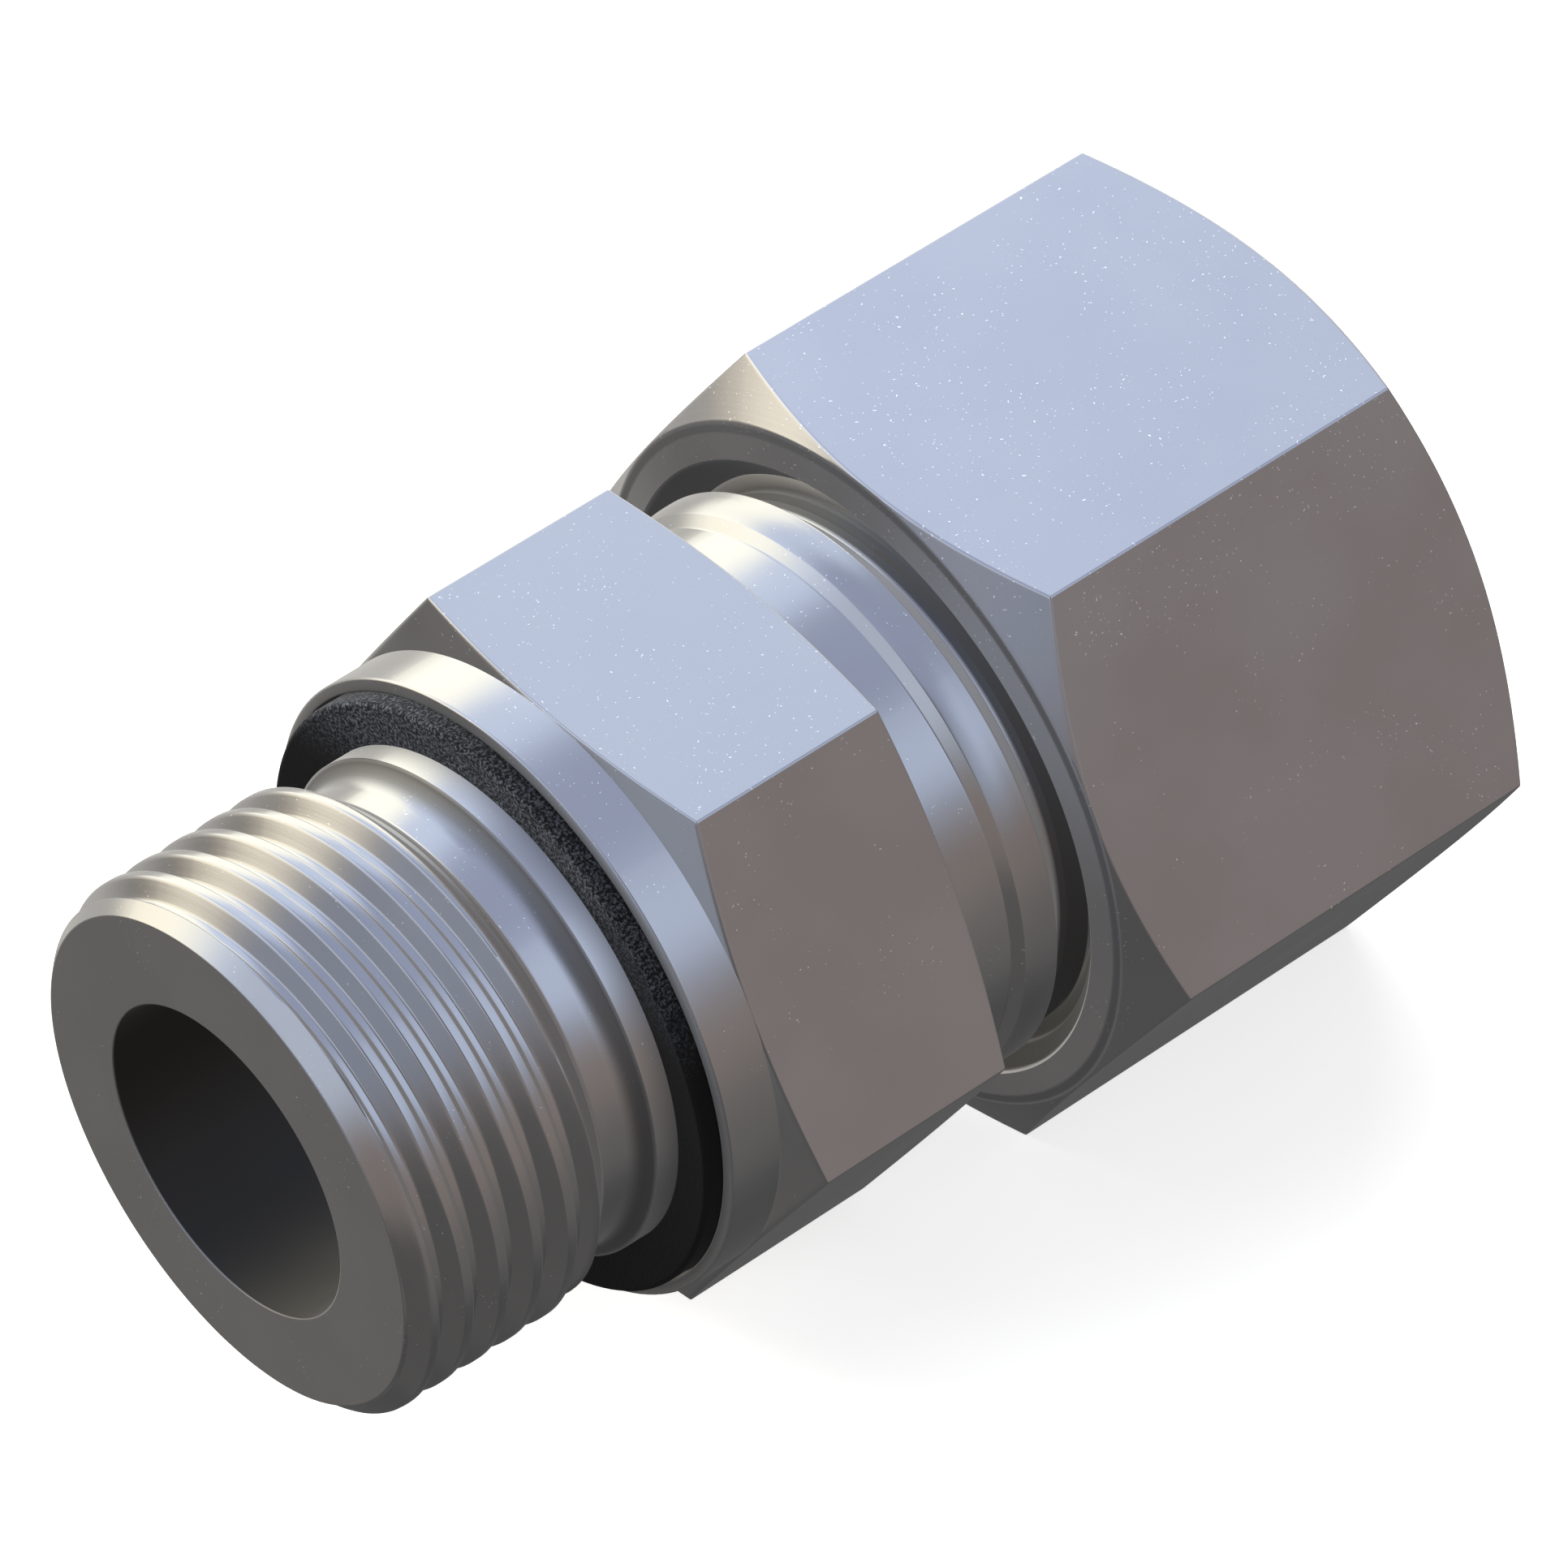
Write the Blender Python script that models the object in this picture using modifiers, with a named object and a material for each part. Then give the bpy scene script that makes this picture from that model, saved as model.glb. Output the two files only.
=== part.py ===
"""Straight male stud tube fitting: a cutting-ring fitting for 20 mm tube with a metric stud.

The fitting is four pieces on one axis: a one-piece body, a rubber ring that seals its stud,
a hardened cutting ring and a union nut. It lies on one flat of the nut, with the axis along
+X, the stud at the -X end, and the origin under the middle of its length.
Every piece is modelled on a local axis Z that runs from the stud's tip (z = 0) to the nut's
outer end, and an empty turns that axis to +X.
"""

import math

import bmesh
import bpy

# Stud: a parallel metric thread that runs out into a relief. The thread's section is given in pitches
STUD_THREAD_DIAMETER = 0.0270
STUD_THREAD_PITCH = 0.0020
STUD_THREAD_LENGTH = 0.0105
STUD_THREAD_DEPTH = 0.475 * STUD_THREAD_PITCH
STUD_ROOT_WIDTH = 0.2 * STUD_THREAD_PITCH
STUD_FLANK_ANGLE = math.radians(30)
STUD_TIP_CHAMFER = 0.00097
STUD_END_SLOPE = 0.0015
STUD_GROOVE_RUN_OUT = 0.000456
STUD_RELIEF_DEPTH = 0.0015
STUD_RELIEF_LENGTH = 0.00245
STUD_RELIEF_FILLET = 0.00135
SEAL_SEAT_STEP = 0.00087
SEAL_SEAT_LENGTH = 0.00185
BORE_DIAMETER = 0.0160

# Seal ring, in a recess of the flange that leaves a narrow rim around it
SEAL_WIDTH = 0.00228
SEAL_STAND_OUT = 0.00105
SEAL_EDGE_ROUND = 0.00015
SEAL_CLEARANCE = 0.0001
SEAL_RECESS_DEPTH = 0.0008
COLLAR_RIM_WIDTH = 0.0006
COLLAR_LENGTH = 0.00275

# Hexagon of the body
BODY_ACROSS_FLATS = 0.0320
BODY_HEX_LENGTH = 0.01204
BODY_HEX_CHAMFER = math.radians(15)
HEX_OVERLAP = 0.0005

# Neck and undercut before the nut's thread, both given as depths below that thread
NECK_DEPTH = 0.0017
NECK_LENGTH = 0.0041
SHOULDER_FILLET = 0.0010
SHOULDER_EDGE = 0.00015
SHOULDER_LENGTH = 0.0015
SHOULDER_BACK_SLOPE = 0.0012
UNDERCUT_DEPTH = 0.00135
UNDERCUT_LENGTH = 0.0006

# Nut thread, shared by the body and the nut. Its section is given in pitches
NUT_THREAD_DIAMETER = 0.0300
NUT_THREAD_PITCH = 0.0020
NUT_THREAD_DEPTH = 0.615 * NUT_THREAD_PITCH
NUT_THREAD_ROOT_WIDTH = 0.165 * NUT_THREAD_PITCH
NUT_THREAD_FLANK_ANGLE = math.radians(30)
NUT_THREAD_LENGTH = 0.0109
NUT_THREAD_START = 0.0010
NUT_THREAD_CLEARANCE = 0.00013

# Tube side of the body: a 24 degree cone that leads to the tube's socket
TUBE_DIAMETER = 0.0200
TUBE_CLEARANCE = 0.0001
TUBE_STOP_DEPTH = 0.0105
CONE_RISE = 0.00135
CONE_HALF_ANGLE = math.radians(12)

# Union nut: its wall lies outside the thread, and its length spans from the shoulder to its tube hole
NUT_WALL = 0.0030
NUT_CHAMFER = math.radians(30)
NUT_FACE_STEP = 0.0003
NUT_MOUTH_STEP = 0.0011
NUT_GAP_TO_SHOULDER = 0.00106
NUT_THREAD_PAST_BODY = 0.00116
NUT_SEAT_ANGLE = math.radians(45)
NUT_TUBE_HOLE_LENGTH = 0.0046
NUT_HOLE_CHAMFER = 0.0006

# Cutting ring, in the room between the body's end and the nut's tube hole
RING_ROOM = 0.00816
RING_GAP_TO_NUT_BORE = 0.00073
RING_NOSE_REACH = 0.0034
RING_SHOULDER_GAP = 0.0010
RING_CUTTING_LAND = 0.0008
RING_BITE_GROOVE = 0.00025
RING_CLEARANCE = 0.0003

# How finely round shapes are divided, and how far cutters reach past what they cut
STEPS = 42
ARC_STEPS = 5
AXIS_MERGE = 0.00001
WELD_DISTANCE = 0.000002
THREAD_OVERCUT = 0.0001
BAR_OVERRUN = 0.0020
TRIM_REACH = 1.3
SHARP_ANGLE = math.radians(25)

# Radii that follow from the sizes above
STUD_CREST_R = STUD_THREAD_DIAMETER / 2
STUD_RELIEF_R = STUD_CREST_R - STUD_RELIEF_DEPTH
SEAL_SEAT_R = STUD_RELIEF_R + SEAL_SEAT_STEP
SEAL_INNER_R = SEAL_SEAT_R + SEAL_CLEARANCE
SEAL_OUTER_R = SEAL_INNER_R + SEAL_WIDTH
SEAL_RECESS_R = SEAL_OUTER_R + SEAL_CLEARANCE
COLLAR_R = SEAL_RECESS_R + COLLAR_RIM_WIDTH
NUT_THREAD_R = NUT_THREAD_DIAMETER / 2
NUT_MINOR_R = NUT_THREAD_R - NUT_THREAD_DEPTH + 2 * NUT_THREAD_CLEARANCE
NUT_FLAT_R = NUT_THREAD_R + NUT_WALL
NECK_R = NUT_THREAD_R - NECK_DEPTH
UNDERCUT_R = NUT_THREAD_R - UNDERCUT_DEPTH
TUBE_BORE_R = TUBE_DIAMETER / 2 + TUBE_CLEARANCE
CONE_MOUTH_R = TUBE_BORE_R + CONE_RISE
RING_OUTER_R = NUT_MINOR_R - RING_GAP_TO_NUT_BORE

# Places along the axis that follow from the sizes above
RELIEF_Z = STUD_THREAD_LENGTH + STUD_END_SLOPE
SEAL_SEAT_Z = RELIEF_Z + STUD_RELIEF_LENGTH
FLANGE_Z = SEAL_SEAT_Z + SEAL_SEAT_LENGTH
SEAL_RECESS_Z = FLANGE_Z + SEAL_RECESS_DEPTH
HEX_START_Z = FLANGE_Z + COLLAR_LENGTH
HEX_END_Z = HEX_START_Z + BODY_HEX_LENGTH
NECK_END_Z = HEX_END_Z + NECK_LENGTH
SHOULDER_END_Z = NECK_END_Z + SHOULDER_LENGTH
UNDERCUT_START_Z = SHOULDER_END_Z + SHOULDER_BACK_SLOPE
UNDERCUT_END_Z = UNDERCUT_START_Z + UNDERCUT_LENGTH
BODY_THREAD_Z = (UNDERCUT_START_Z + UNDERCUT_END_Z) / 2
BODY_END_Z = UNDERCUT_END_Z + NUT_THREAD_LENGTH
NUT_START_Z = SHOULDER_END_Z + NUT_GAP_TO_SHOULDER
NUT_HOLE_Z = BODY_END_Z + RING_ROOM
NUT_END_Z = NUT_HOLE_Z + NUT_TUBE_HOLE_LENGTH


def clear_scene():
    """Remove what a new scene holds, so that only the fitting is left."""
    for item in list(bpy.data.objects):
        bpy.data.objects.remove(item, do_unlink=True)


def new_collection(name):
    group = bpy.data.collections.new(name)
    bpy.context.scene.collection.children.link(group)
    return group


def material(name, colour, roughness, metallic):
    made = bpy.data.materials.new(name)
    made.use_nodes = True
    shader = made.node_tree.nodes["Principled BSDF"]
    shader.inputs["Base Color"].default_value = (*colour, 1.0)
    shader.inputs["Roughness"].default_value = roughness
    shader.inputs["Metallic"].default_value = metallic
    made.diffuse_color = (*colour, 1.0)
    return made


def arc(centre_r, centre_z, radius, start, end):
    """Points (r, z) of an arc, with its angles in degrees from the +r direction."""
    points = []
    for step in range(ARC_STEPS + 1):
        angle = math.radians(start + (end - start) * step / ARC_STEPS)
        points.append((centre_r + radius * math.cos(angle), centre_z + radius * math.sin(angle)))
    return points


def profile_object(name, points, collection):
    """A closed outline in the plane of X (radius) and Z, given up its outer side and down its inner."""
    mesh = bpy.data.meshes.new(name)
    outline = [(r, 0.0, z) for r, z in reversed(points)]
    count = len(outline)
    mesh.from_pydata(outline, [(i, (i + 1) % count) for i in range(count)], [])
    made = bpy.data.objects.new(name, mesh)
    collection.objects.link(made)
    return made


def turned(name, points, collection):
    """A ring turned about Z from a closed outline of (r, z) points."""
    made = profile_object(name, points, collection)
    screw = made.modifiers.new("turn", "SCREW")
    screw.axis = "Z"
    screw.steps = STEPS
    screw.render_steps = STEPS
    screw.use_merge_vertices = True
    screw.merge_threshold = AXIS_MERGE
    screw.use_smooth_shade = True
    return made


def boolean(target, tool, operation):
    cut = target.modifiers.new(operation.lower(), "BOOLEAN")
    cut.operation = operation
    cut.solver = "EXACT"
    cut.object = tool


def helper(item):
    """Mark a cutter or a stock piece, which is no part of the fitting."""
    item.hide_render = True
    item.display_type = "WIRE"
    return item


def applied(item):
    """Turn the object's modifiers into its mesh, with round faces smooth and corners sharp."""
    bpy.context.view_layer.update()
    graph = bpy.context.evaluated_depsgraph_get()
    mesh = bpy.data.meshes.new_from_object(item.evaluated_get(graph))
    item.modifiers.clear()
    old = item.data
    item.data = mesh
    mesh.name = item.name
    bpy.data.meshes.remove(old)
    welded = bmesh.new()
    welded.from_mesh(mesh)
    bmesh.ops.remove_doubles(welded, verts=welded.verts, dist=WELD_DISTANCE)
    bmesh.ops.dissolve_degenerate(welded, edges=welded.edges, dist=WELD_DISTANCE)
    welded.to_mesh(mesh)
    welded.free()
    mesh.shade_smooth()
    mesh.set_sharp_from_angle(angle=SHARP_ANGLE)
    return item


def hex_prism(name, across_flats, low, high, collection):
    """Hexagonal bar along Z from low to high, with two of its flats square to X."""
    mesh = bpy.data.meshes.new(name)
    made = bmesh.new()
    corner = across_flats / math.sqrt(3)
    bmesh.ops.create_cone(
        made, cap_ends=True, segments=6, radius1=corner, radius2=corner, depth=high - low
    )
    bmesh.ops.translate(made, verts=made.verts, vec=(0.0, 0.0, (low + high) / 2))
    made.to_mesh(mesh)
    made.free()
    bar = bpy.data.objects.new(name, mesh)
    collection.objects.link(bar)
    return bar


def thread_cutter(name, outline, pitch, turns, collection):
    """A closed groove outline carried along a right-hand helix, with both its ends closed."""
    made = profile_object(name, outline, collection)
    screw = made.modifiers.new("helix", "SCREW")
    screw.axis = "Z"
    screw.steps = STEPS
    screw.render_steps = STEPS
    screw.iterations = turns
    screw.screw_offset = pitch
    applied(made)
    bulk = bmesh.new()
    bulk.from_mesh(made.data)
    bmesh.ops.holes_fill(bulk, edges=bulk.edges, sides=0)
    bmesh.ops.recalc_face_normals(bulk, faces=bulk.faces)
    bulk.to_mesh(made.data)
    bulk.free()
    return helper(made)


def groove_outline(crest_r, depth, root_width, flank_angle, middle, outward):
    """Section of a thread groove, from its root past its crest. outward is 1 for a cut from
    outside, and -1 for one cut from inside a bore, whose root is the larger radius."""
    reach = depth + THREAD_OVERCUT
    root_r = crest_r - outward * depth
    mouth_r = root_r + outward * reach
    half_root = root_width / 2
    half_mouth = half_root + reach * math.tan(flank_angle)
    points = [
        (mouth_r, middle - half_mouth),
        (mouth_r, middle + half_mouth),
        (root_r, middle + half_root),
        (root_r, middle - half_root),
    ]
    return points if outward > 0 else points[::-1]


def stud_outline():
    """Outer side of the stud, from its tip to the flange's recess for the seal."""
    sweep = math.degrees(math.acos(1 - SEAL_SEAT_STEP / STUD_RELIEF_FILLET))
    fillet_start = SEAL_SEAT_Z - STUD_RELIEF_FILLET * math.sin(math.radians(sweep))
    fillet_r = STUD_RELIEF_R + STUD_RELIEF_FILLET
    return [
        (STUD_CREST_R - STUD_TIP_CHAMFER, 0.0),
        (STUD_CREST_R, STUD_TIP_CHAMFER),
        (STUD_CREST_R, STUD_THREAD_LENGTH),
        (STUD_RELIEF_R, RELIEF_Z),
        *arc(fillet_r, fillet_start, STUD_RELIEF_FILLET, 180, 180 - sweep),
        (SEAL_SEAT_R, SEAL_RECESS_Z),
    ]


def neck_outline():
    """Outer side of the neck, the shoulder and the plain length that carries the nut's thread."""
    fillet_z = NECK_END_Z - SHOULDER_FILLET
    return [
        *arc(NECK_R + SHOULDER_FILLET, fillet_z, SHOULDER_FILLET, 180, 90),
        (NUT_THREAD_R - SHOULDER_EDGE, NECK_END_Z),
        (NUT_THREAD_R, NECK_END_Z + SHOULDER_EDGE),
        (NUT_THREAD_R, SHOULDER_END_Z),
        (UNDERCUT_R, UNDERCUT_START_Z),
        (UNDERCUT_R, UNDERCUT_END_Z),
        (NUT_THREAD_R, UNDERCUT_END_Z + NUT_THREAD_START),
        (NUT_THREAD_R, BODY_END_Z - NUT_THREAD_START),
        (NUT_THREAD_R - NUT_THREAD_DEPTH - NUT_THREAD_CLEARANCE, BODY_END_Z),
    ]


def bore_outline():
    """Inner side of the body, from the cone's mouth back to the stud's tip."""
    cone_length = CONE_RISE / math.tan(CONE_HALF_ANGLE)
    stop_z = BODY_END_Z - TUBE_STOP_DEPTH
    return [
        (CONE_MOUTH_R, BODY_END_Z),
        (TUBE_BORE_R, BODY_END_Z - cone_length),
        (TUBE_BORE_R, stop_z),
        (BORE_DIAMETER / 2, stop_z),
        (BORE_DIAMETER / 2, 0.0),
    ]


def hexagon_of_body(tools):
    """The wrench hexagon as a ring: a bar cut by a turned shape whose cones trim its corners."""
    flat_r = BODY_ACROSS_FLATS / 2
    beyond_r = flat_r * TRIM_REACH
    cone = (beyond_r - flat_r) * math.tan(BODY_HEX_CHAMFER)
    inner_r = NECK_R - HEX_OVERLAP
    inside_collar = HEX_START_Z - HEX_OVERLAP
    collar_r = flat_r - (HEX_START_Z - inside_collar) / math.tan(BODY_HEX_CHAMFER)
    trim = helper(
        turned(
            "body_hex_trim",
            [
                (collar_r, inside_collar),
                (beyond_r, HEX_START_Z + cone),
                (beyond_r, HEX_END_Z - cone),
                (flat_r, HEX_END_Z),
                (inner_r, HEX_END_Z),
                (inner_r, inside_collar),
            ],
            tools,
        )
    )
    bar = hex_prism("body_hex", BODY_ACROSS_FLATS, 0.0, BODY_END_Z, tools)
    boolean(bar, trim, "INTERSECT")
    return helper(applied(bar))


def stud_thread_groove(tools):
    """The stud's thread groove. It starts off the stud's tip and dies out in the relief."""
    end = RELIEF_Z + STUD_GROOVE_RUN_OUT
    turns = math.ceil(end / STUD_THREAD_PITCH + 1 / 2)
    outline = groove_outline(
        STUD_CREST_R,
        STUD_THREAD_DEPTH,
        STUD_ROOT_WIDTH,
        STUD_FLANK_ANGLE,
        end - turns * STUD_THREAD_PITCH,
        1,
    )
    return thread_cutter("stud_groove", outline, STUD_THREAD_PITCH, turns, tools)


def body_thread_groove(tools):
    """The groove of the body's thread for the nut. It starts in the undercut and leaves at the end."""
    turns = math.ceil((BODY_END_Z - BODY_THREAD_Z) / NUT_THREAD_PITCH + 1 / 2)
    outline = groove_outline(
        NUT_THREAD_R,
        NUT_THREAD_DEPTH,
        NUT_THREAD_ROOT_WIDTH,
        NUT_THREAD_FLANK_ANGLE,
        BODY_THREAD_Z,
        1,
    )
    return thread_cutter("body_groove", outline, NUT_THREAD_PITCH, turns, tools)


def nut_thread_groove(tools):
    """The groove in the nut. It takes the body's ridge, half a pitch from the body's groove."""
    slope = math.tan(NUT_THREAD_FLANK_ANGLE)
    ridge_width = NUT_THREAD_PITCH - NUT_THREAD_ROOT_WIDTH - 2 * NUT_THREAD_DEPTH * slope
    flank_room = NUT_THREAD_CLEARANCE * (1 / math.cos(NUT_THREAD_FLANK_ANGLE) - slope)
    first = BODY_THREAD_Z + NUT_THREAD_PITCH / 2
    first -= math.ceil((first - NUT_START_Z) / NUT_THREAD_PITCH + 1) * NUT_THREAD_PITCH
    turns = math.ceil((BODY_END_Z + NUT_THREAD_PAST_BODY - first) / NUT_THREAD_PITCH)
    outline = groove_outline(
        NUT_MINOR_R,
        NUT_THREAD_R + NUT_THREAD_CLEARANCE - NUT_MINOR_R,
        ridge_width + 2 * flank_room,
        NUT_THREAD_FLANK_ANGLE,
        first,
        -1,
    )
    return thread_cutter("nut_groove", outline, NUT_THREAD_PITCH, turns, tools)


def body(parts, tools):
    """The body: stud, sealing flange, hexagon, neck and 24 degree cone, turned from one bar."""
    flange = [
        (SEAL_RECESS_R, SEAL_RECESS_Z),
        (SEAL_RECESS_R, FLANGE_Z),
        (COLLAR_R, FLANGE_Z),
        (COLLAR_R, HEX_START_Z + HEX_OVERLAP),
        (NECK_R, HEX_START_Z + HEX_OVERLAP),
    ]
    made = turned("fitting_body", stud_outline() + flange + neck_outline() + bore_outline(), parts)
    boolean(made, hexagon_of_body(tools), "UNION")
    boolean(made, stud_thread_groove(tools), "DIFFERENCE")
    boolean(made, body_thread_groove(tools), "DIFFERENCE")
    return applied(made)


def union_nut(parts, tools):
    """The union nut: a hexagon bored for the tube, with a 45 degree seat and an inner thread."""
    face_r = NUT_FLAT_R - NUT_FACE_STEP
    beyond_r = NUT_FLAT_R * TRIM_REACH
    cone = (beyond_r - face_r) * math.tan(NUT_CHAMFER)
    mouth_r = NUT_THREAD_R + NUT_MOUTH_STEP
    mouth_slope = mouth_r - NUT_MINOR_R
    seat_length = (NUT_MINOR_R - TUBE_BORE_R) / math.tan(NUT_SEAT_ANGLE)
    stock = helper(
        turned(
            "nut_stock",
            [
                (face_r, NUT_START_Z),
                (beyond_r, NUT_START_Z + cone),
                (beyond_r, NUT_END_Z - cone),
                (face_r, NUT_END_Z),
                (TUBE_BORE_R + NUT_HOLE_CHAMFER, NUT_END_Z),
                (TUBE_BORE_R, NUT_END_Z - NUT_HOLE_CHAMFER),
                (TUBE_BORE_R, NUT_HOLE_Z),
                (NUT_MINOR_R, NUT_HOLE_Z - seat_length),
                (NUT_MINOR_R, NUT_START_Z + mouth_slope),
                (mouth_r, NUT_START_Z),
            ],
            tools,
        )
    )
    low, high = NUT_START_Z - BAR_OVERRUN, NUT_END_Z + BAR_OVERRUN
    made = hex_prism("union_nut", 2 * NUT_FLAT_R, low, high, parts)
    boolean(made, stock, "INTERSECT")
    boolean(made, nut_thread_groove(tools), "DIFFERENCE")
    return applied(made)


def stud_seal(parts):
    """The rubber ring in the flange's recess, which stands out of it to seal on the port."""
    front = FLANGE_Z - SEAL_STAND_OUT
    back = SEAL_RECESS_Z - SEAL_CLEARANCE
    edge = SEAL_EDGE_ROUND
    return turned(
        "stud_seal",
        [
            (SEAL_INNER_R + edge, front),
            (SEAL_OUTER_R - edge, front),
            (SEAL_OUTER_R, front + edge),
            (SEAL_OUTER_R, back),
            (SEAL_INNER_R, back),
            (SEAL_INNER_R, front + edge),
        ],
        parts,
    )


def cutting_ring(parts):
    """The hardened ring that bites the tube: a nose in the body's cone and a back on the nut's seat."""
    cone = math.tan(CONE_HALF_ANGLE)
    seat_gap = RING_CLEARANCE / math.cos(CONE_HALF_ANGLE)
    nose_z = BODY_END_Z - RING_NOSE_REACH
    nose_r = CONE_MOUTH_R - RING_NOSE_REACH * cone - seat_gap
    shoulder_z = BODY_END_Z + RING_SHOULDER_GAP
    shoulder_r = CONE_MOUTH_R + RING_SHOULDER_GAP * cone - seat_gap
    back_z = NUT_HOLE_Z - RING_CLEARANCE / math.sin(NUT_SEAT_ANGLE)
    end_r = TUBE_BORE_R + RING_CLEARANCE
    back_length = (RING_OUTER_R - TUBE_BORE_R) / math.tan(NUT_SEAT_ANGLE)
    end_cut = (end_r - TUBE_BORE_R) / math.tan(NUT_SEAT_ANGLE)
    groove_r = TUBE_BORE_R + RING_BITE_GROOVE
    return turned(
        "cutting_ring",
        [
            (TUBE_BORE_R, nose_z),
            (nose_r, nose_z),
            (shoulder_r, shoulder_z),
            (RING_OUTER_R, shoulder_z + RING_OUTER_R - shoulder_r),
            (RING_OUTER_R, back_z - back_length),
            (end_r, back_z - end_cut),
            (TUBE_BORE_R, back_z - end_cut),
            (TUBE_BORE_R, shoulder_z),
            (groove_r, shoulder_z - RING_BITE_GROOVE),
            (groove_r, nose_z + RING_CUTTING_LAND + RING_BITE_GROOVE),
            (TUBE_BORE_R, nose_z + RING_CUTTING_LAND),
        ],
        parts,
    )


def main():
    clear_scene()
    parts = new_collection("tube_fitting")
    tools = new_collection("cutters")
    plated_steel = material("zinc_plated_steel", (0.46, 0.46, 0.48), 0.32, 1.0)
    nut_steel = material("zinc_plated_nut", (0.48, 0.48, 0.51), 0.34, 1.0)
    ring_steel = material("hardened_ring_steel", (0.30, 0.30, 0.31), 0.38, 1.0)
    rubber = material("black_rubber", (0.018, 0.018, 0.019), 0.75, 0.0)
    axis = bpy.data.objects.new("fitting_axis", None)
    axis.location = (-NUT_END_Z / 2, 0.0, NUT_FLAT_R)
    axis.rotation_euler = (0.0, math.radians(90), 0.0)
    parts.objects.link(axis)
    made = {
        body(parts, tools): plated_steel,
        stud_seal(parts): rubber,
        cutting_ring(parts): ring_steel,
        union_nut(parts, tools): nut_steel,
    }
    for piece, finish in made.items():
        piece.data.materials.clear()
        piece.data.materials.append(finish)
        piece.parent = axis


main()
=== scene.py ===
# %% [markdown]
# A cutting-ring tube fitting in zinc plated steel.
#
# The real thing is turned from hexagonal bar: a body with a threaded stud, a rubber seal on it, a
# hardened ring inside and a union nut. The solids of the frame already have every size and every
# joint. This lesson rebuilds their surfaces finely enough for a close picture, with true helical
# threads and worked edges, and then gives them their plating, their rubber and a studio.

# %% Load the frame
import math

import bmesh
import bpy
import numpy as np
from mathutils import Matrix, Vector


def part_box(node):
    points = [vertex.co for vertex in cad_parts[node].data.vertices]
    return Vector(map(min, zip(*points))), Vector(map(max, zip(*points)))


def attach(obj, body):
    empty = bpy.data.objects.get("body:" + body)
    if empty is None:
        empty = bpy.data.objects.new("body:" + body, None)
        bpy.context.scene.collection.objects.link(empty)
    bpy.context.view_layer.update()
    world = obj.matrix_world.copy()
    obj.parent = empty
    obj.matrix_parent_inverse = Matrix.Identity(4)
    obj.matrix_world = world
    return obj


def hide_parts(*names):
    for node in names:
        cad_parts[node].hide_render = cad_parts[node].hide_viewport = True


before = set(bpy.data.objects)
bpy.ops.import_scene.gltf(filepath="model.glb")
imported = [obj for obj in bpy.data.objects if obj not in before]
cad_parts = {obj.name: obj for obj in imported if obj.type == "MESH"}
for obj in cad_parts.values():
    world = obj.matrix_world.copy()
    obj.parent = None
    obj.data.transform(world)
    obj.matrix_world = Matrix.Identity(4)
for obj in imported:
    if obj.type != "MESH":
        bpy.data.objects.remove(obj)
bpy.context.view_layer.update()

# %% [markdown]
# Every surface here is turned about one axis, so a point is given by its station along that axis,
# its radius and its angle. Stations and radii are in millimetres, with station 0 at the stud's tip.
# The angle runs from +Y to +Z in degrees, so 90 is the top. Where a size can be read from the
# frame it is, and the others are the sizes that a drawing of the fitting would give.

# %% Stations and radii
MM = 0.001
body_low, body_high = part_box("fitting_body")
nut_low, nut_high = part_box("union_nut")
seal_low, seal_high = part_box("stud_seal")
ring_low, ring_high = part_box("cutting_ring")
TIP_X = body_low.x
AXIS_Z = nut_high.z / 2


def station(x):
    """Station in millimetres of a place along X in the frame: its distance from the stud's tip."""
    return (x - TIP_X) / MM


BODY_END = station(body_high.x)
NUT_START, NUT_END = station(nut_low.x), station(nut_high.x)
SEAL_FRONT, SEAL_BACK = station(seal_low.x), station(seal_high.x)
RING_NOSE, RING_BACK = station(ring_low.x), station(ring_high.x)
NUT_FLAT_R = AXIS_Z / MM
SEAL_OUTER_R = (seal_high.z - seal_low.z) / MM / 2
RING_OUTER_R = (ring_high.z - ring_low.z) / MM / 2
print("body ends at", round(BODY_END, 2), "nut from", round(NUT_START, 2), "to", round(NUT_END, 2))

# %% [markdown]
# All blocks of a piece share the same columns of angle, so that they can be stacked into one grid
# and welded. A hexagon needs its columns close together at its six corners, where the bar's edge
# is a narrow round, and can have them wide apart over its flats.

# %% Columns of angle
CORNER_OFFSETS = np.array([0.0, 0.08, 0.16, 0.24, 0.33, 0.6])
FLAT_COLUMNS = 28
across_flat = np.linspace(CORNER_OFFSETS[-1], 60 - CORNER_OFFSETS[-1], FLAT_COLUMNS)
sector = np.concatenate([CORNER_OFFSETS[:-1], across_flat, 60 - CORNER_OFFSETS[:0:-1][1:]])
ANGLES = np.append(np.concatenate([sector + 60 * k for k in range(6)]), 360.0)
print("columns", len(ANGLES))

# %% [markdown]
# A turned profile is a list of corners, and a lathe tool leaves each of them slightly round. The
# helper below puts an arc on every corner and one more point on each side of it, close by, so that
# the shading of the round doesn't spread over the long face beside it.

# %% Profiles with worked corners
ARC_POINTS = 5
SHADE_GUARD = 0.05


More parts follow.
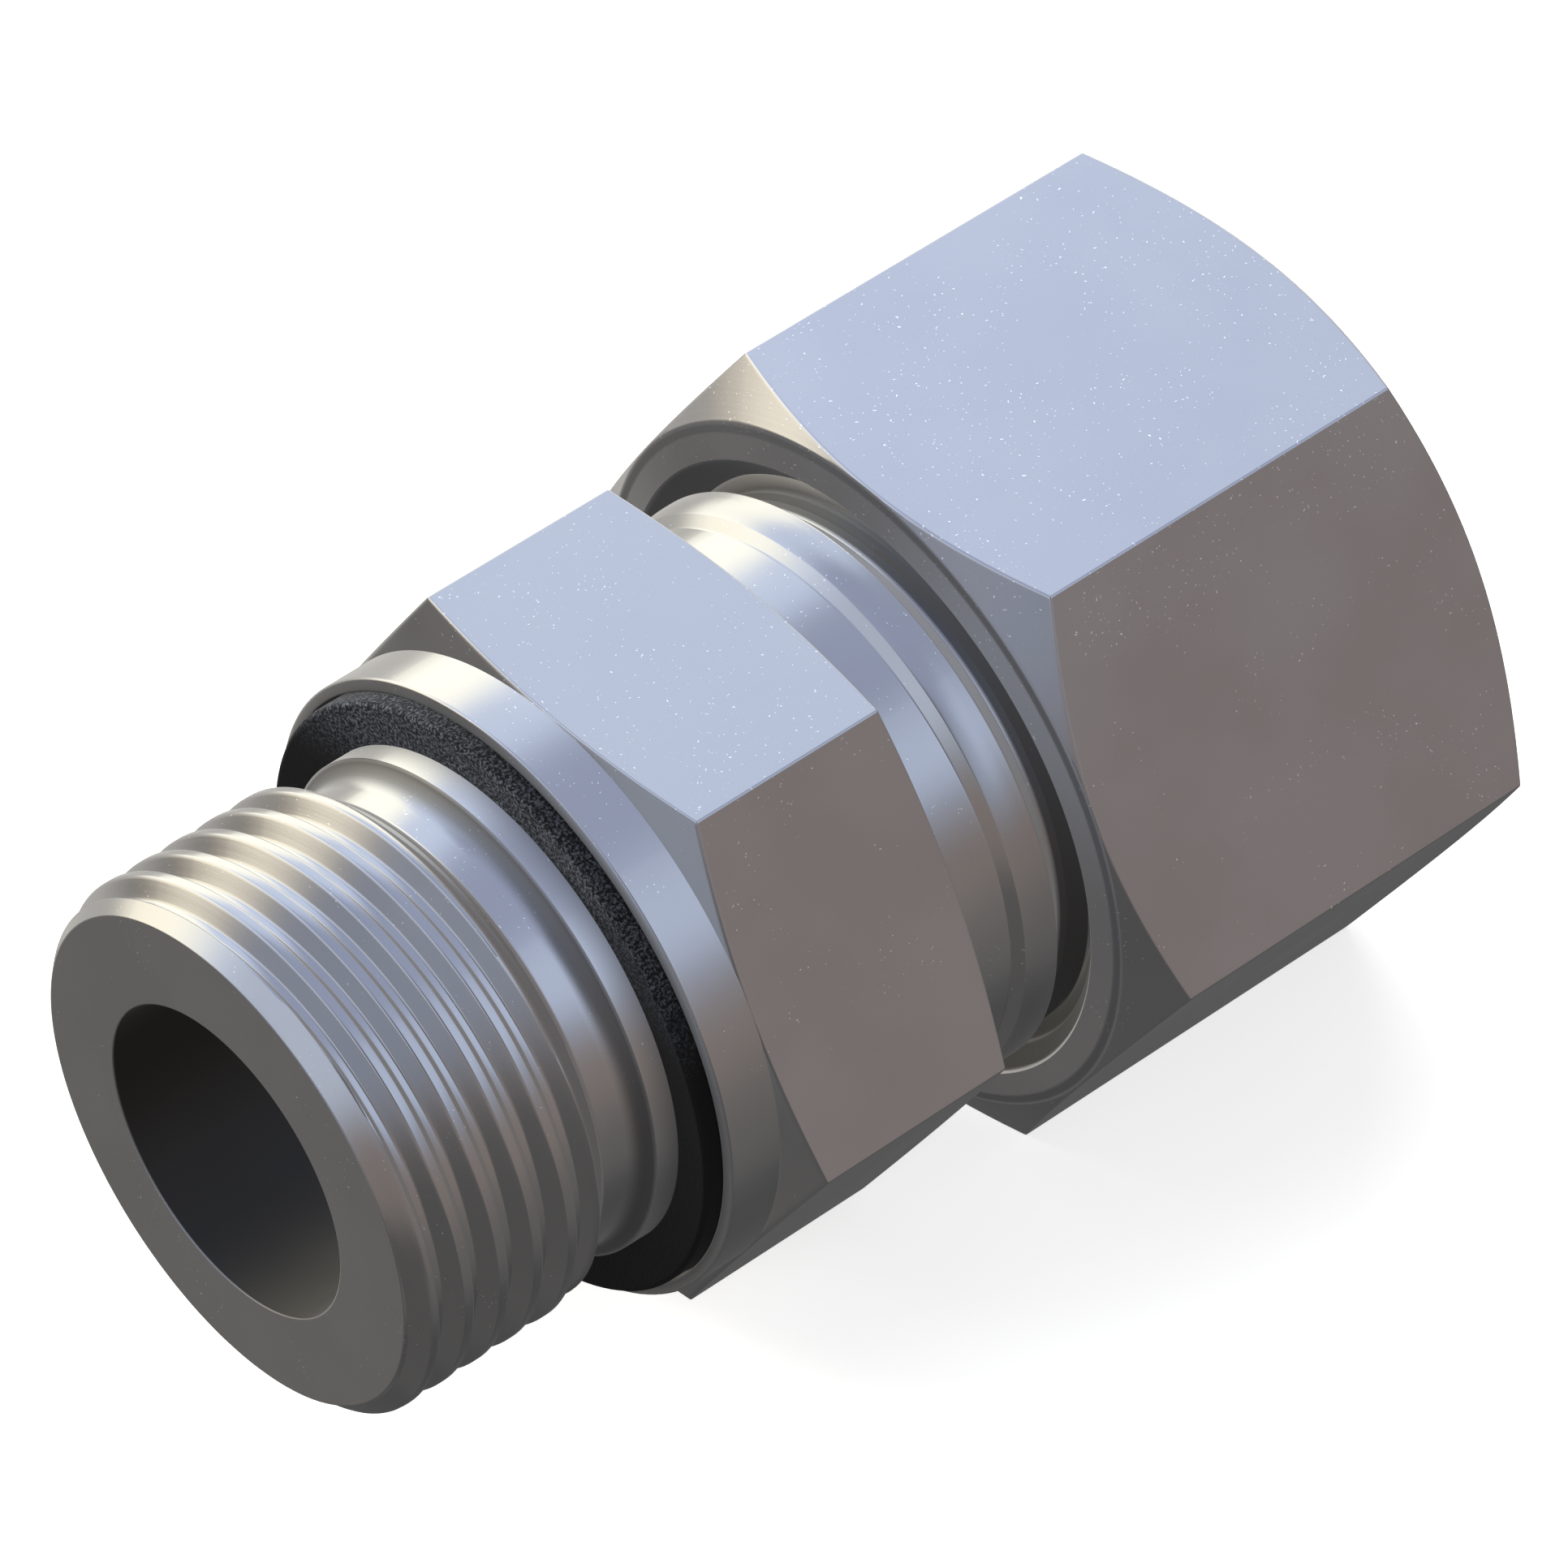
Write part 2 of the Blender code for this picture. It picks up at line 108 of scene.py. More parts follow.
def rounded(corners):
    """Points (station, radius) of a polyline whose corners (station, radius, round) become arcs.

    With unit vectors u and w from a corner to its neighbours and t the angle between them, the arc
    of radius q touches both sides at q / tan(t / 2) from the corner, and its centre lies along
    u + w at q / sin(t / 2)."""
    points = [np.array([corners[0][:2]])]
    for before, here, after in zip(corners, corners[1:], corners[2:]):
        corner = np.array(here[:2])
        if here[2] == 0:
            points.append(corner[None])
            continue
        u = np.array(before[:2]) - corner
        w = np.array(after[:2]) - corner
        u, w = u / np.linalg.norm(u), w / np.linalg.norm(w)
        half = math.acos(np.clip(u @ w, -1, 1)) / 2
        touch = here[2] / math.tan(half)
        centre = corner + (u + w) / np.linalg.norm(u + w) * here[2] / math.sin(half)
        share = np.linspace(0, 1, ARC_POINTS)[:, None]
        spokes = (1 - share) * (corner + u * touch - centre) + share * (corner + w * touch - centre)
        spokes *= here[2] / np.linalg.norm(spokes, axis=1)[:, None]
        guard = touch + SHADE_GUARD
        points += [(corner + u * guard)[None], centre + spokes, (corner + w * guard)[None]]
    points.append(np.array([corners[-1][:2]]))
    return np.concatenate(points)


def arc(centre, radius, start, end, count=9):
    """Points on a circle about centre (station, radius): angle 0 points along the axis, 90 outwards."""
    turn = np.radians(np.linspace(start, end, count))
    return np.stack([centre[0] + radius * np.cos(turn), centre[1] + radius * np.sin(turn)], axis=1)


def turned_rows(points):
    """Grid rows (stations, radii) of a turned profile: each point becomes a full circle."""
    points = np.asarray(points, float)
    return np.stack([np.repeat(points[:, k : k + 1], len(ANGLES), axis=1) for k in (0, 1)])


print("points of one worked corner", len(rounded([(0, 0, 0), (1, 0, 0.1), (1, 1, 0)])) - 2)


# %% [markdown]
# Where two surfaces meet along a curve that isn't a circle, as a thread does with its chamfer, an
# arc can't be put on a corner. There the smaller of the two radii is taken, blended over a narrow
# band, which leaves the same small round.

# %% Soft minimum and maximum
def soft_min(a, b, band):
    """Smaller of a and b. Within band of each other they blend by a parabola, which is the exact
    smaller one again at both edges of the band."""
    share = np.clip(0.5 + 0.5 * (b - a) / band, 0, 1)
    return b + (a - b) * share - band * share * (1 - share)


def soft_max(a, b, band):
    """Larger of a and b, blended as soft_min does."""
    return -soft_min(-a, -b, band)


print("two equal radii, blended over 0.1, sink by", -soft_min(0.0, 0.0, 0.1))


# %% [markdown]
# A thread is a V-shaped groove wound along the axis: at each angle it is the same zigzag, moved
# along by its pitch for every turn. So the grid's rows are wound too. Row by row they follow the
# edges of crest and root, which stay sharp with few points, and at 360 degrees row k meets row
# k + 1 turn of angle 0, where welding joins them into one endless spiral.

# %% Threads
EDGE_ROWS = np.array([-0.08, -0.03, 0.03, 0.08])
EDGE_BAND = 0.1
THREAD_FLANK = math.radians(30)


def thread_section(pitch, root_width, depth, flank):
    """Half widths in millimetres, from a groove's middle, of its root and of its mouth."""
    half_root = root_width / 2
    return half_root, half_root + depth * math.tan(flank)


def wound_stations(start, end, pitch, phase, half_root, half_mouth):
    """Stations of the wound rows, (rows, columns): pitch * (turn + angle / 360) + phase + mark,
    held between start and end. The marks lie on the groove's middle, both its edges, its flank
    and the crest."""
    flank_row = (half_root + half_mouth) / 2
    half = np.concatenate([half_root + EDGE_ROWS, [flank_row], half_mouth + EDGE_ROWS])
    marks = np.concatenate([[0.0], half, [pitch / 2], pitch - half[::-1]])
    turns = np.arange(math.floor((start - phase) / pitch) - 2, math.ceil((end - phase) / pitch) + 1)
    along = (turns[:, None] * pitch + marks[None, :]).ravel() + phase
    x = along[:, None] + pitch * ANGLES[None, :] / 360
    inside = ((x > start) & (x < end)).any(axis=1)
    first, last = np.flatnonzero(inside)[[0, -1]]
    return np.clip(x[max(first - 1, 0) : last + 2], start, end)


def groove_distance(x, pitch, phase):
    """Distance in millimetres along the axis from each grid point to the middle of the groove."""
    turns = (x - phase) / pitch - ANGLES[None, :] / 360
    return np.abs((turns + 0.5) % 1 - 0.5) * pitch


def outer_thread(x, pitch, phase, half_root, crest_r, depth):
    """Radius of a thread cut into a bar: the root, the flank that rises from half_root on at
    THREAD_FLANK, and the crest, blended over EDGE_BAND."""
    flank = (groove_distance(x, pitch, phase) - half_root) / math.tan(THREAD_FLANK)
    flank_r = soft_max(crest_r - depth + flank, crest_r - depth + 0 * x, EDGE_BAND)
    return soft_min(flank_r, crest_r + 0 * x, EDGE_BAND)


# %% [markdown]
# A wrench hexagon is a bar whose radius swings between flat and corner, with a cone turned on each
# end. Along the curve where cone and flat meet, the rows bend with it: the station of that curve
# is known at every angle, and the rows are laid at fixed distances from it.

# %% Hexagons
CORNER_ROUND = 0.13
CREASE_ROWS = np.array([-0.12, -0.07, -0.035, 0.0, 0.035, 0.07, 0.12])
CREASE_HALF_WIDTH = 0.07
CONE_ROWS = np.array([0.0, 0.04, 0.3, 0.6, 0.85])
FLAT_ROWS = np.array([0.03, 0.35, 0.65, 0.97])


def hexagon_radius(flat_r):
    """Radius of a hexagonal bar at each column. At s degrees from a corner it is flat_r over the
    cosine of 30 - s, and within the corner's round, of radius q about a centre at distance c, it
    is c cos(s) + sqrt(q^2 - c^2 sin(s)^2)."""
    from_corner = np.abs((ANGLES + 30) % 60 - 30)
    flat = flat_r / np.cos(np.radians(30 - from_corner))
    centre = (flat_r - CORNER_ROUND) / math.cos(math.radians(30))
    touch = 30 - math.degrees(math.atan((flat_r - CORNER_ROUND) * math.tan(math.radians(30)) / flat_r))
    side = centre * np.sin(np.radians(from_corner))
    root = np.sqrt(np.clip(CORNER_ROUND**2 - side**2, 0, None))
    return np.where(from_corner < touch, centre * np.cos(np.radians(from_corner)) + root, flat)


def hexagon_rows(start, end, flat_r, face_r, chamfer):
    """Rows of a hexagon from station start to end. The cone on each end leaves its face at face_r
    and rises by 1 / tan(chamfer) of its length, so it meets the bar (bar - face_r) * tan(chamfer)
    from the face."""
    bar = hexagon_radius(flat_r)[None, :]
    reach = (bar - face_r) * math.tan(chamfer)
    cone_part = CONE_ROWS[:, None] * (reach - CREASE_ROWS[-1]).clip(0)
    near = np.concatenate([cone_part, reach + CREASE_ROWS[:, None]])
    near = near.clip(0, (end - start) / 2)
    low, high = start + near, end - near[::-1]
    between = low[-1] + FLAT_ROWS[:, None] * (high[0] - low[-1])
    x = np.concatenate([low, between, high])
    cone = face_r + np.minimum(x - start, end - x) / math.tan(chamfer)
    return np.stack([x, soft_min(cone, bar + 0 * x, CREASE_HALF_WIDTH / math.tan(chamfer))])


# %% [markdown]
# Wound rows are held back at both ends of a thread, so many of their points coincide there, and
# the columns at 0 and 360 degrees do so everywhere. Welding makes one closed skin of them, and
# counting the open edges afterwards shows whether it did.

# %% Weld what coincides
WELD = 0.000002


def weld(mesh):
    """Merge points closer than WELD, and drop the quads that the merging closed to nothing."""
    work = bmesh.new()
    work.from_mesh(mesh)
    bmesh.ops.remove_doubles(work, verts=work.verts, dist=WELD)
    bmesh.ops.dissolve_degenerate(work, edges=work.edges, dist=WELD)
    open_edges = sum(1 for edge in work.edges if not edge.is_manifold)
    print("open edges", open_edges)
    work.to_mesh(mesh)
    work.free()


# %% [markdown]
# The grid of a piece runs up its outer side and back down its bore, so its last row meets its
# first. Making the mesh is then the same for all four pieces: place the points, join neighbours by
# quads, weld what coincides, and shade it smooth. Each point also keeps a number of painted shade
# for the hollow it lies in, which the plating will need.

# %% From rows to a piece
SHARP_ANGLE = math.radians(40)


def in_scene(name, data):
    """A new object of the data, linked to the scene."""
    made = bpy.data.objects.new(name, data)
    bpy.context.scene.collection.objects.link(made)
    return made


def piece(name, sections, painted_shade_of=None):
    """A closed mesh from sections of rows. A point of station s, radius r and angle a lies at
    (s, r cos a, r sin a), moved to the axis of the frame. The last argument gives each point's
    painted shade, 0 to 1, from its station and radius."""
    stations, radii = np.concatenate(sections, axis=1)
    turn = np.radians(ANGLES)[None, :]
    points = np.stack(
        [TIP_X + stations * MM, radii * np.cos(turn) * MM, AXIS_Z + radii * np.sin(turn) * MM], axis=2
    )
    rows, columns = stations.shape
    corner = np.arange(rows * columns).reshape(rows, columns)
    ahead = np.roll(corner, -1, axis=0)
    quads = np.stack([corner[:, :-1], corner[:, 1:], ahead[:, 1:], ahead[:, :-1]], axis=2)
    mesh = bpy.data.meshes.new(name)
    mesh.from_pydata(points.reshape(-1, 3), [], quads.reshape(-1, 4).tolist())
    # painted shade of each point, 0 in the open and up to 1 deep in a hollow
    depth = np.zeros(rows * columns) if painted_shade_of is None else painted_shade_of(stations, radii).ravel()
    mesh.attributes.new("painted_shade", "FLOAT", "POINT").data.foreach_set("value", depth)
    made = in_scene(name, mesh)
    weld(mesh)
    mesh.shade_smooth()
    mesh.set_sharp_from_angle(angle=SHARP_ANGLE)
    mesh.calc_loop_triangles()
    print(name, "triangles", len(mesh.loop_triangles))
    return made


# %% [markdown]
# The stud's flat face meets the wound rows of its thread, which no profile corner can round. A few
# rows between them, on part of an ellipse, make the same small round.

# %% A narrow round between a face and wound rows
EDGE_SWEEP = 75


def edge_rows(x0, r0, x1, r1, count=4):
    """Rows from the circle (x0, r0) on a face to the first wound row (x1, r1). At t degrees, up to
    EDGE_SWEEP, they have gone sin t of the way outwards and 1 - cos t of the way along, both scaled
    to end at 1, so they start out along the face."""
    t = np.radians(np.linspace(0, EDGE_SWEEP, count))[:, None]
    lift = np.sin(t) / math.sin(math.radians(EDGE_SWEEP))
    along = (1 - np.cos(t)) / (1 - math.cos(math.radians(EDGE_SWEEP)))
    base = np.zeros((count, len(ANGLES)))
    return np.stack([x0 + along * (x1 - x0) + base, r0 + lift * (r1 - r0)])


# %% [markdown]
# The stud carries an M27x2 thread: flat crests and roots, 60 degree flanks, a 45 degree chamfer at
# the tip and another one down into the relief. The chamfers are one more surface to take the
# smaller radius with, and where a groove sinks under them the thread runs out as it does on a lathe.

# %% The stud's outer side
STUD_PITCH = 2.0
STUD_CREST_R = 13.5
STUD_DEPTH = 0.95
STUD_ROOT_WIDTH = 0.4
STUD_PHASE = 0.956
STUD_TIP_R = 12.53
STUD_THREAD_END = 10.5
RELIEF_R = 12.0
STUD_WOUND_START, STUD_WOUND_END = 0.05, 11.75
FACE_EDGE = 0.06

half_root, half_mouth = thread_section(STUD_PITCH, STUD_ROOT_WIDTH, STUD_DEPTH, THREAD_FLANK)
x = wound_stations(STUD_WOUND_START, STUD_WOUND_END, STUD_PITCH, STUD_PHASE, half_root, half_mouth)
stud_r = outer_thread(x, STUD_PITCH, STUD_PHASE, half_root, STUD_CREST_R, STUD_DEPTH)
stud_r = soft_min(stud_r, STUD_TIP_R + x, EDGE_BAND)
stud_r = soft_min(stud_r, STUD_CREST_R - (x - STUD_THREAD_END), EDGE_BAND)
stud_thread = np.stack([x, stud_r])
tip_edge = edge_rows(0.0, STUD_TIP_R - FACE_EDGE, STUD_WOUND_START, stud_r[:1])[:, :-1]
print("stud thread rows", len(stud_r), "turns", (STUD_THREAD_END - STUD_WOUND_START) / STUD_PITCH)

# %% [markdown]
# Behind the thread come its relief, a hollow fillet up to the seat of the seal, the recess that
# the seal sits in, and the collar, all plain turned work. The flange's rim leans back a little
# towards the seal. Before the hexagon a few narrow rows keep its shading off the collar.

# %% The relief, the seal's recess and the collar
FINE_ROUND, INNER_ROUND, EDGE_ROUND = 0.05, 0.1, 0.12
RELIEF_START, RELIEF_ROUND = 12.0, 0.25
RELIEF_FILLET = 1.35
SEAT_R = 12.87
SEAT_START = 14.45
RECESS_R = 15.35
RECESS_BACK = 17.1
RIM_FRONT, FLANGE = 16.17, 16.3
COLLAR_R = 15.95
HEX_START, HEX_END = 19.05, 31.09
HEX_GUARDS = (0.12, 0.05, 0.01)

sweep = math.degrees(math.acos(1 - (SEAT_R - RELIEF_R) / RELIEF_FILLET))
fillet_start = SEAT_START - RELIEF_FILLET * math.sin(math.radians(sweep))
relief_corner = rounded(
    [
        (STUD_WOUND_END, RELIEF_R + RELIEF_START - STUD_WOUND_END, 0),
        (RELIEF_START, RELIEF_R, RELIEF_ROUND),
        (fillet_start, RELIEF_R, 0),
    ]
)
fillet = arc((fillet_start, RELIEF_R + RELIEF_FILLET), RELIEF_FILLET, -90, -90 + sweep)[1:-1]
recess_and_collar = rounded(
    [
        (SEAT_START, SEAT_R, 0),
        (RECESS_BACK, SEAT_R, FINE_ROUND),
        (RECESS_BACK, RECESS_R, FINE_ROUND),
        (RIM_FRONT, RECESS_R, FINE_ROUND),
        (FLANGE, COLLAR_R, EDGE_ROUND),
        *[(HEX_START - guard, COLLAR_R, 0) for guard in HEX_GUARDS],
    ]
)
relief = np.concatenate([relief_corner, fillet, recess_and_collar])
print("relief and collar circles", len(relief))

# %% [markdown]
# The spanner hexagon is what is left of the bar between collar and neck. Its faces are as wide as
# its flats, so the 15 degree cones take away its corners alone.

# %% The body's hexagon
BODY_FLAT_R = 16.0
BODY_CHAMFER = math.radians(15)
body_hexagon = hexagon_rows(HEX_START, HEX_END, BODY_FLAT_R, BODY_FLAT_R, BODY_CHAMFER)
print("hexagon across flats", 2 * BODY_FLAT_R, "length", round(HEX_END - HEX_START, 2))

# %% [markdown]
# The neck is where the bar was turned down between the hexagon and the nut's thread. A short 45
# degree step leads up to the shoulder, which is slightly crowned and as wide as the thread. The
# thread itself starts behind an undercut, sits under the nut, and comes to light when the nut is
# turned off.

# %% The neck, the shoulder and the nut's thread
FACE_GUARD = 0.1
NECK_R = 14.25
NECK_STOP = 34.47
SHOULDER_R = 15.0
SHOULDER_LIP_R, LIP_ROUND, CROWN_ROUND = 14.76, 0.15, 3.2
SHOULDER_START, SHOULDER_CROWN, SHOULDER_END = 34.98, 35.64, 36.69
UNDERCUT_R = 13.65
UNDERCUT_START, UNDERCUT_DARK = 37.89, 38.15
NUT_PITCH = 2.0
NUT_DEPTH = 1.23
NUT_ROOT_WIDTH = 0.33
NUT_PHASE = 38.69
BODY_THREAD_START, BODY_THREAD_STOP = 38.52, BODY_END - SHADE_GUARD
THREAD_RISE = 1.35
THREAD_END_SLOPE = 1.36

neck = rounded(
    [
        (HEX_END, BODY_FLAT_R - FACE_GUARD, 0),
        (HEX_END, NECK_R, EDGE_ROUND),
        (NECK_STOP, NECK_R, EDGE_ROUND),
        (SHOULDER_START, SHOULDER_LIP_R, LIP_ROUND),
        (SHOULDER_CROWN, SHOULDER_R, CROWN_ROUND),
        (SHOULDER_END, SHOULDER_R, EDGE_ROUND),
        (UNDERCUT_START, UNDERCUT_R, INNER_ROUND),
        (UNDERCUT_DARK, UNDERCUT_R, 0),
        (BODY_THREAD_START, UNDERCUT_R, 0),
    ]
)
half_root, half_mouth = thread_section(NUT_PITCH, NUT_ROOT_WIDTH, NUT_DEPTH, THREAD_FLANK)
x = wound_stations(BODY_THREAD_START, BODY_THREAD_STOP, NUT_PITCH, NUT_PHASE, half_root, half_mouth)
body_r = outer_thread(x, NUT_PITCH, NUT_PHASE, half_root, SHOULDER_R, NUT_DEPTH)
body_r = soft_min(body_r, UNDERCUT_R + (x - BODY_THREAD_START) * THREAD_RISE, EDGE_BAND)
body_r = soft_min(body_r, UNDERCUT_R + (BODY_END - x) * THREAD_END_SLOPE, EDGE_BAND)
body_thread = np.stack([x, body_r])
print("nut's thread rows", len(body_r), "from", BODY_THREAD_START, "to", round(BODY_THREAD_STOP, 2))

# %% [markdown]
# Inside, the body opens with the 24 degree cone that the cutting ring is pressed into, then the
# socket for the tube with its stop, and the bore down through the stud. A few circles near the tip
# let the bore's painted shade begin close behind its edge.

# %% The body's bore
TUBE_R = 10.1
BORE_R = 8.0
BORE_CIRCLES = (12.0, 3.0, 0.7)
MOUTH_ROUND = 0.08
CONE_MOUTH_R = 11.45
CONE_SLOPE = math.tan(math.radians(12))
CONE_END = BODY_END - (CONE_MOUTH_R - TUBE_R) / CONE_SLOPE
SOCKET_DEPTH = 10.5
TUBE_STOP = BODY_END - SOCKET_DEPTH

inside = rounded(
    [
        (BODY_END, UNDERCUT_R - FACE_EDGE, 0),
        (BODY_END, CONE_MOUTH_R, MOUTH_ROUND),
        (CONE_END, TUBE_R, MOUTH_ROUND),
        (TUBE_STOP, TUBE_R, INNER_ROUND),
        (TUBE_STOP, BORE_R, INNER_ROUND),
        *[(circle, BORE_R, 0) for circle in BORE_CIRCLES],
        (0.0, BORE_R, EDGE_ROUND),
        (0.0, STUD_TIP_R - FACE_EDGE - SHADE_GUARD, 0),
    ]
)
print("tube socket from", round(TUBE_STOP, 2), "to", round(BODY_END, 2))

# %% [markdown]
# Little light finds its way into the bore, the seal's recess and the grooves, so shade is painted
# there. A point's station and radius say whether it lies in one of them, so the mesh can carry the
# painted shade as a number: 0 in the open and 1 deep inside. The plating further on turns it into a
# darker and duller metal. Being painted on the pieces, this shade stays the same from every side and
# in every pose.

# %% Painted shade of the body, from station and radius
FILLET_SHADE, FILLET_SHADE_RISES = 0.66, (13.35, 14.1)
RUN_OUT_SHADE, RUN_OUT_LENGTH, RUN_OUT_HEIGHT = 0.4, 0.3, 0.2
RIM_SHADE, RIM_WIDTH = 0.5, 0.15
SHOULDER_SHADE, SHOULDER_SHADE_RISES = 0.06, (34.9, 35.3)
UNDERCUT_SHADE, UNDERCUT_ENDS = 0.85, (39.2, 40.0)
BORE_SHADE_RISES = (BORE_R + 0.06, BORE_R + 0.02)
SEAT_CLEARS = (SEAT_START - 0.06, SEAT_START - 0.01)
RECESS_RANGE = (16.0, 17.2)
RIM_RANGE = (15.9, FLANGE + 0.1)


def step(low, high, value):
    """0 at low and 1 at high, smoothly between, and flat beyond both."""
    share = np.clip((value - low) / (high - low), 0, 1)
    return share * share * (3 - 2 * share)


def body_painted_shade(x, r):
    """Painted shade: 0 in the open, 1 in the seal's recess, 1 or more in bore and socket, and less
    than 1 in the fillet, the stud thread's run-out, the flange's rim, the shoulder and the undercut."""
    # painted shade: darker where shade falls into the bore, fillet, run-out, rim, recess, shoulder and
    # undercut
    bore = step(*BORE_SHADE_RISES, r) * (x < TUBE_STOP)
    socket = (x > TUBE_STOP - 1) * (r < RELIEF_R)
    fillet = FILLET_SHADE * step(*FILLET_SHADE_RISES, x) * (1 - step(*SEAT_CLEARS, x)) * (r < SEAT_R)
    run_out = RUN_OUT_SHADE * step(STUD_THREAD_END, STUD_THREAD_END + RUN_OUT_LENGTH, x)
    run_out = run_out * (x < STUD_WOUND_END) * (r > RELIEF_R + RUN_OUT_HEIGHT)
    rim = RIM_SHADE * (x > RIM_RANGE[0]) * (x < RIM_RANGE[1])
    rim = rim * (1 - step(RECESS_R + RIM_WIDTH, COLLAR_R, r))
    recess = (x > RECESS_RANGE[0]) * (x < RECESS_RANGE[1]) * (r < RECESS_R + 0.02)
    shoulder = SHOULDER_SHADE * step(*SHOULDER_SHADE_RISES, x)
    undercut = UNDERCUT_SHADE * step(UNDERCUT_START - 0.01, UNDERCUT_DARK, x) * (r > RELIEF_R)
    undercut = undercut * (1 - step(*UNDERCUT_ENDS, x))
    return np.maximum.reduce([bore + socket, fillet, run_out, rim, recess, shoulder, undercut])


# %% [markdown]
# The body's rows follow each other from the stud's tip along the outside to the far end, and back
# through the bore.

# %% The body
body = piece(
    "body",
    [
        tip_edge,
        stud_thread,
        turned_rows(relief),
        body_hexagon,
        turned_rows(neck),
        body_thread,
        turned_rows(inside),
    ],
    body_painted_shade,
)

# %% [markdown]
# The union nut is a second hexagon with 30 degree chamfers, and its front is a very shallow cone.
# Its bore is cut like the body's outside, only with the larger radius winning: a groove that takes
# the body's ridges with a little room to spare, half a pitch off the body's own groove, so that the
# two threads mesh at every turn.

# %% The union nut's thread
NUT_MOUTH_R = 16.1
NUT_MINOR_R = 14.03
NUT_MAJOR_R = 15.13
NUT_GROOVE_ROOT = 0.4
NUT_THREAD_STOP = BODY_END + 1.5
THREAD_FADE = 1.0
nut_phase = NUT_PHASE + NUT_PITCH / 2
nut_depth = NUT_MAJOR_R - NUT_MINOR_R
half_root, half_mouth = thread_section(NUT_PITCH, NUT_GROOVE_ROOT, nut_depth, THREAD_FLANK)

x = wound_stations(NUT_START + SHADE_GUARD, NUT_THREAD_STOP, NUT_PITCH, nut_phase, half_root, half_mouth)
cut = (half_mouth - groove_distance(x, NUT_PITCH, nut_phase)) / math.tan(THREAD_FLANK)
cut = soft_min(soft_max(cut, 0 * x, EDGE_BAND), nut_depth + 0 * x, EDGE_BAND)
cut = cut * np.clip((NUT_THREAD_STOP - x) / THREAD_FADE, 0, 1)
nut_r = soft_max(NUT_MINOR_R + cut, NUT_MOUTH_R - (x - NUT_START), EDGE_BAND)
nut_thread = np.stack([x, nut_r])[:, ::-1]

# %% [markdown]
# The nut's front rises by 0.3 mm from its mouth to its chamfers, and its rows are laid where a thin
# line in that face will need them. At the far end a small chamfer leads into the tube's hole, and
# the 45 degree seat inside is what presses the ring forward.

# %% The union nut's faces and seat
SEAT_FROM_END = 4.6
NUT_BACK_R = 17.7
NUT_FRONT_R = 17.96
NUT_FRONT_DROP = 0.3
NUT_CHAMFER = math.radians(30)
NUT_HOLE = NUT_END - SEAT_FROM_END
HOLE_CHAMFER = 0.6
FRONT_ROWS = np.array([0.01, 0.65, 0.69, 0.73, 0.88, 0.92, 0.95])

front_edge = NUT_START + NUT_FRONT_DROP
front_x = NUT_START + FRONT_ROWS * NUT_FRONT_DROP
front_r = NUT_MOUTH_R + FRONT_ROWS * (NUT_FRONT_R - NUT_MOUTH_R)
nut_front = turned_rows(np.stack([front_x, front_r], axis=1))
nut_hexagon = hexagon_rows(front_edge, NUT_END, NUT_FLAT_R, NUT_FRONT_R, NUT_CHAMFER)
nut_inside = rounded(
    [
        (NUT_END, NUT_BACK_R - FACE_GUARD, 0),
        (NUT_END, TUBE_R + HOLE_CHAMFER, INNER_ROUND),
        (NUT_END - HOLE_CHAMFER, TUBE_R, INNER_ROUND),
        (NUT_HOLE, TUBE_R, INNER_ROUND),
        (NUT_HOLE - (NUT_MINOR_R - TUBE_R), NUT_MINOR_R, INNER_ROUND),
        (NUT_THREAD_STOP, NUT_MINOR_R, 0),
    ]
)
print("nut across flats", round(2 * NUT_FLAT_R, 2), "length", round(NUT_END - NUT_START, 2))

# %% [markdown]
# The nut is hollow from its mouth to its far end, and painted shade fills it, less where the low
# window shines in and more across from it. A thin dark line also runs round its front just inside
# the chamfers, made with a little of the same darkening.

# %% Painted shade of the nut, from station and radius
NUT_SHADE, LIT_LESS, UNLIT_MORE = 0.85, 0.4, 0.12
LIT_ANGLE, UNLIT_ANGLE = 40, 230
LINE_SHADE, LINE_STARTS, LINE_ENDS = 0.55, (17.3, 17.46), (17.75, 17.86)
MOUTH_SHADE_RISES = (0.02, 0.14)
SIDE_COSINES = (0.1, 0.7)


def towards(angle):
    """1 on the side of the nut that lies at the angle, 0 on the other side: a step of the cosine."""
    return step(*SIDE_COSINES, np.cos(np.radians(ANGLES - angle)))


def nut_painted_shade(x, r):
    """Painted shade: strong everywhere inside the mouth, less where the low window shines in and
    more across from it, and weaker along a thin dark line where the nut's front meets its cone."""
    line = LINE_SHADE * step(*LINE_STARTS, r) * (1 - step(*LINE_ENDS, r)) * (x < front_edge)
    # painted shade inside the mouth, lighter towards the lit side and darker across from it
    mouth_shade = NUT_SHADE - LIT_LESS * towards(LIT_ANGLE) + UNLIT_MORE * towards(UNLIT_ANGLE)
    within = step(*MOUTH_SHADE_RISES, NUT_MOUTH_R - r) * (x < NUT_END - HOLE_CHAMFER)
    return np.maximum(mouth_shade * within, line)


# %% [markdown]
# The nut's rows run the same way as the body's: front, hexagon, far end, hole, and back through
# the thread to its mouth.

# %% The nut
nut = piece("nut", [nut_front, nut_hexagon, turned_rows(nut_inside), nut_thread], nut_painted_shade)

# %% [markdown]
# The seal is a moulded rubber ring with soft edges, and its front is slightly dished towards the
# hole. Both loose rings are turned forms, so a list of corners is all that they need.

# %% The seal
SEAL_INNER_R = SEAT_R + 0.01
SEAL_ROUND = 0.2
SEAL_DISH, SEAL_LIP_ROUND = 0.41, 0.04


def ring_of(name, corners):
    """A turned ring from its corners. The outline starts and ends in the middle of its first side."""
    middle = tuple((a + b) / 2 for a, b in zip(corners[0][:2], corners[1][:2]))
    start = (*middle, 0)
    return piece(name, [turned_rows(rounded([start, *corners[1:], corners[0], start])[:-1])])


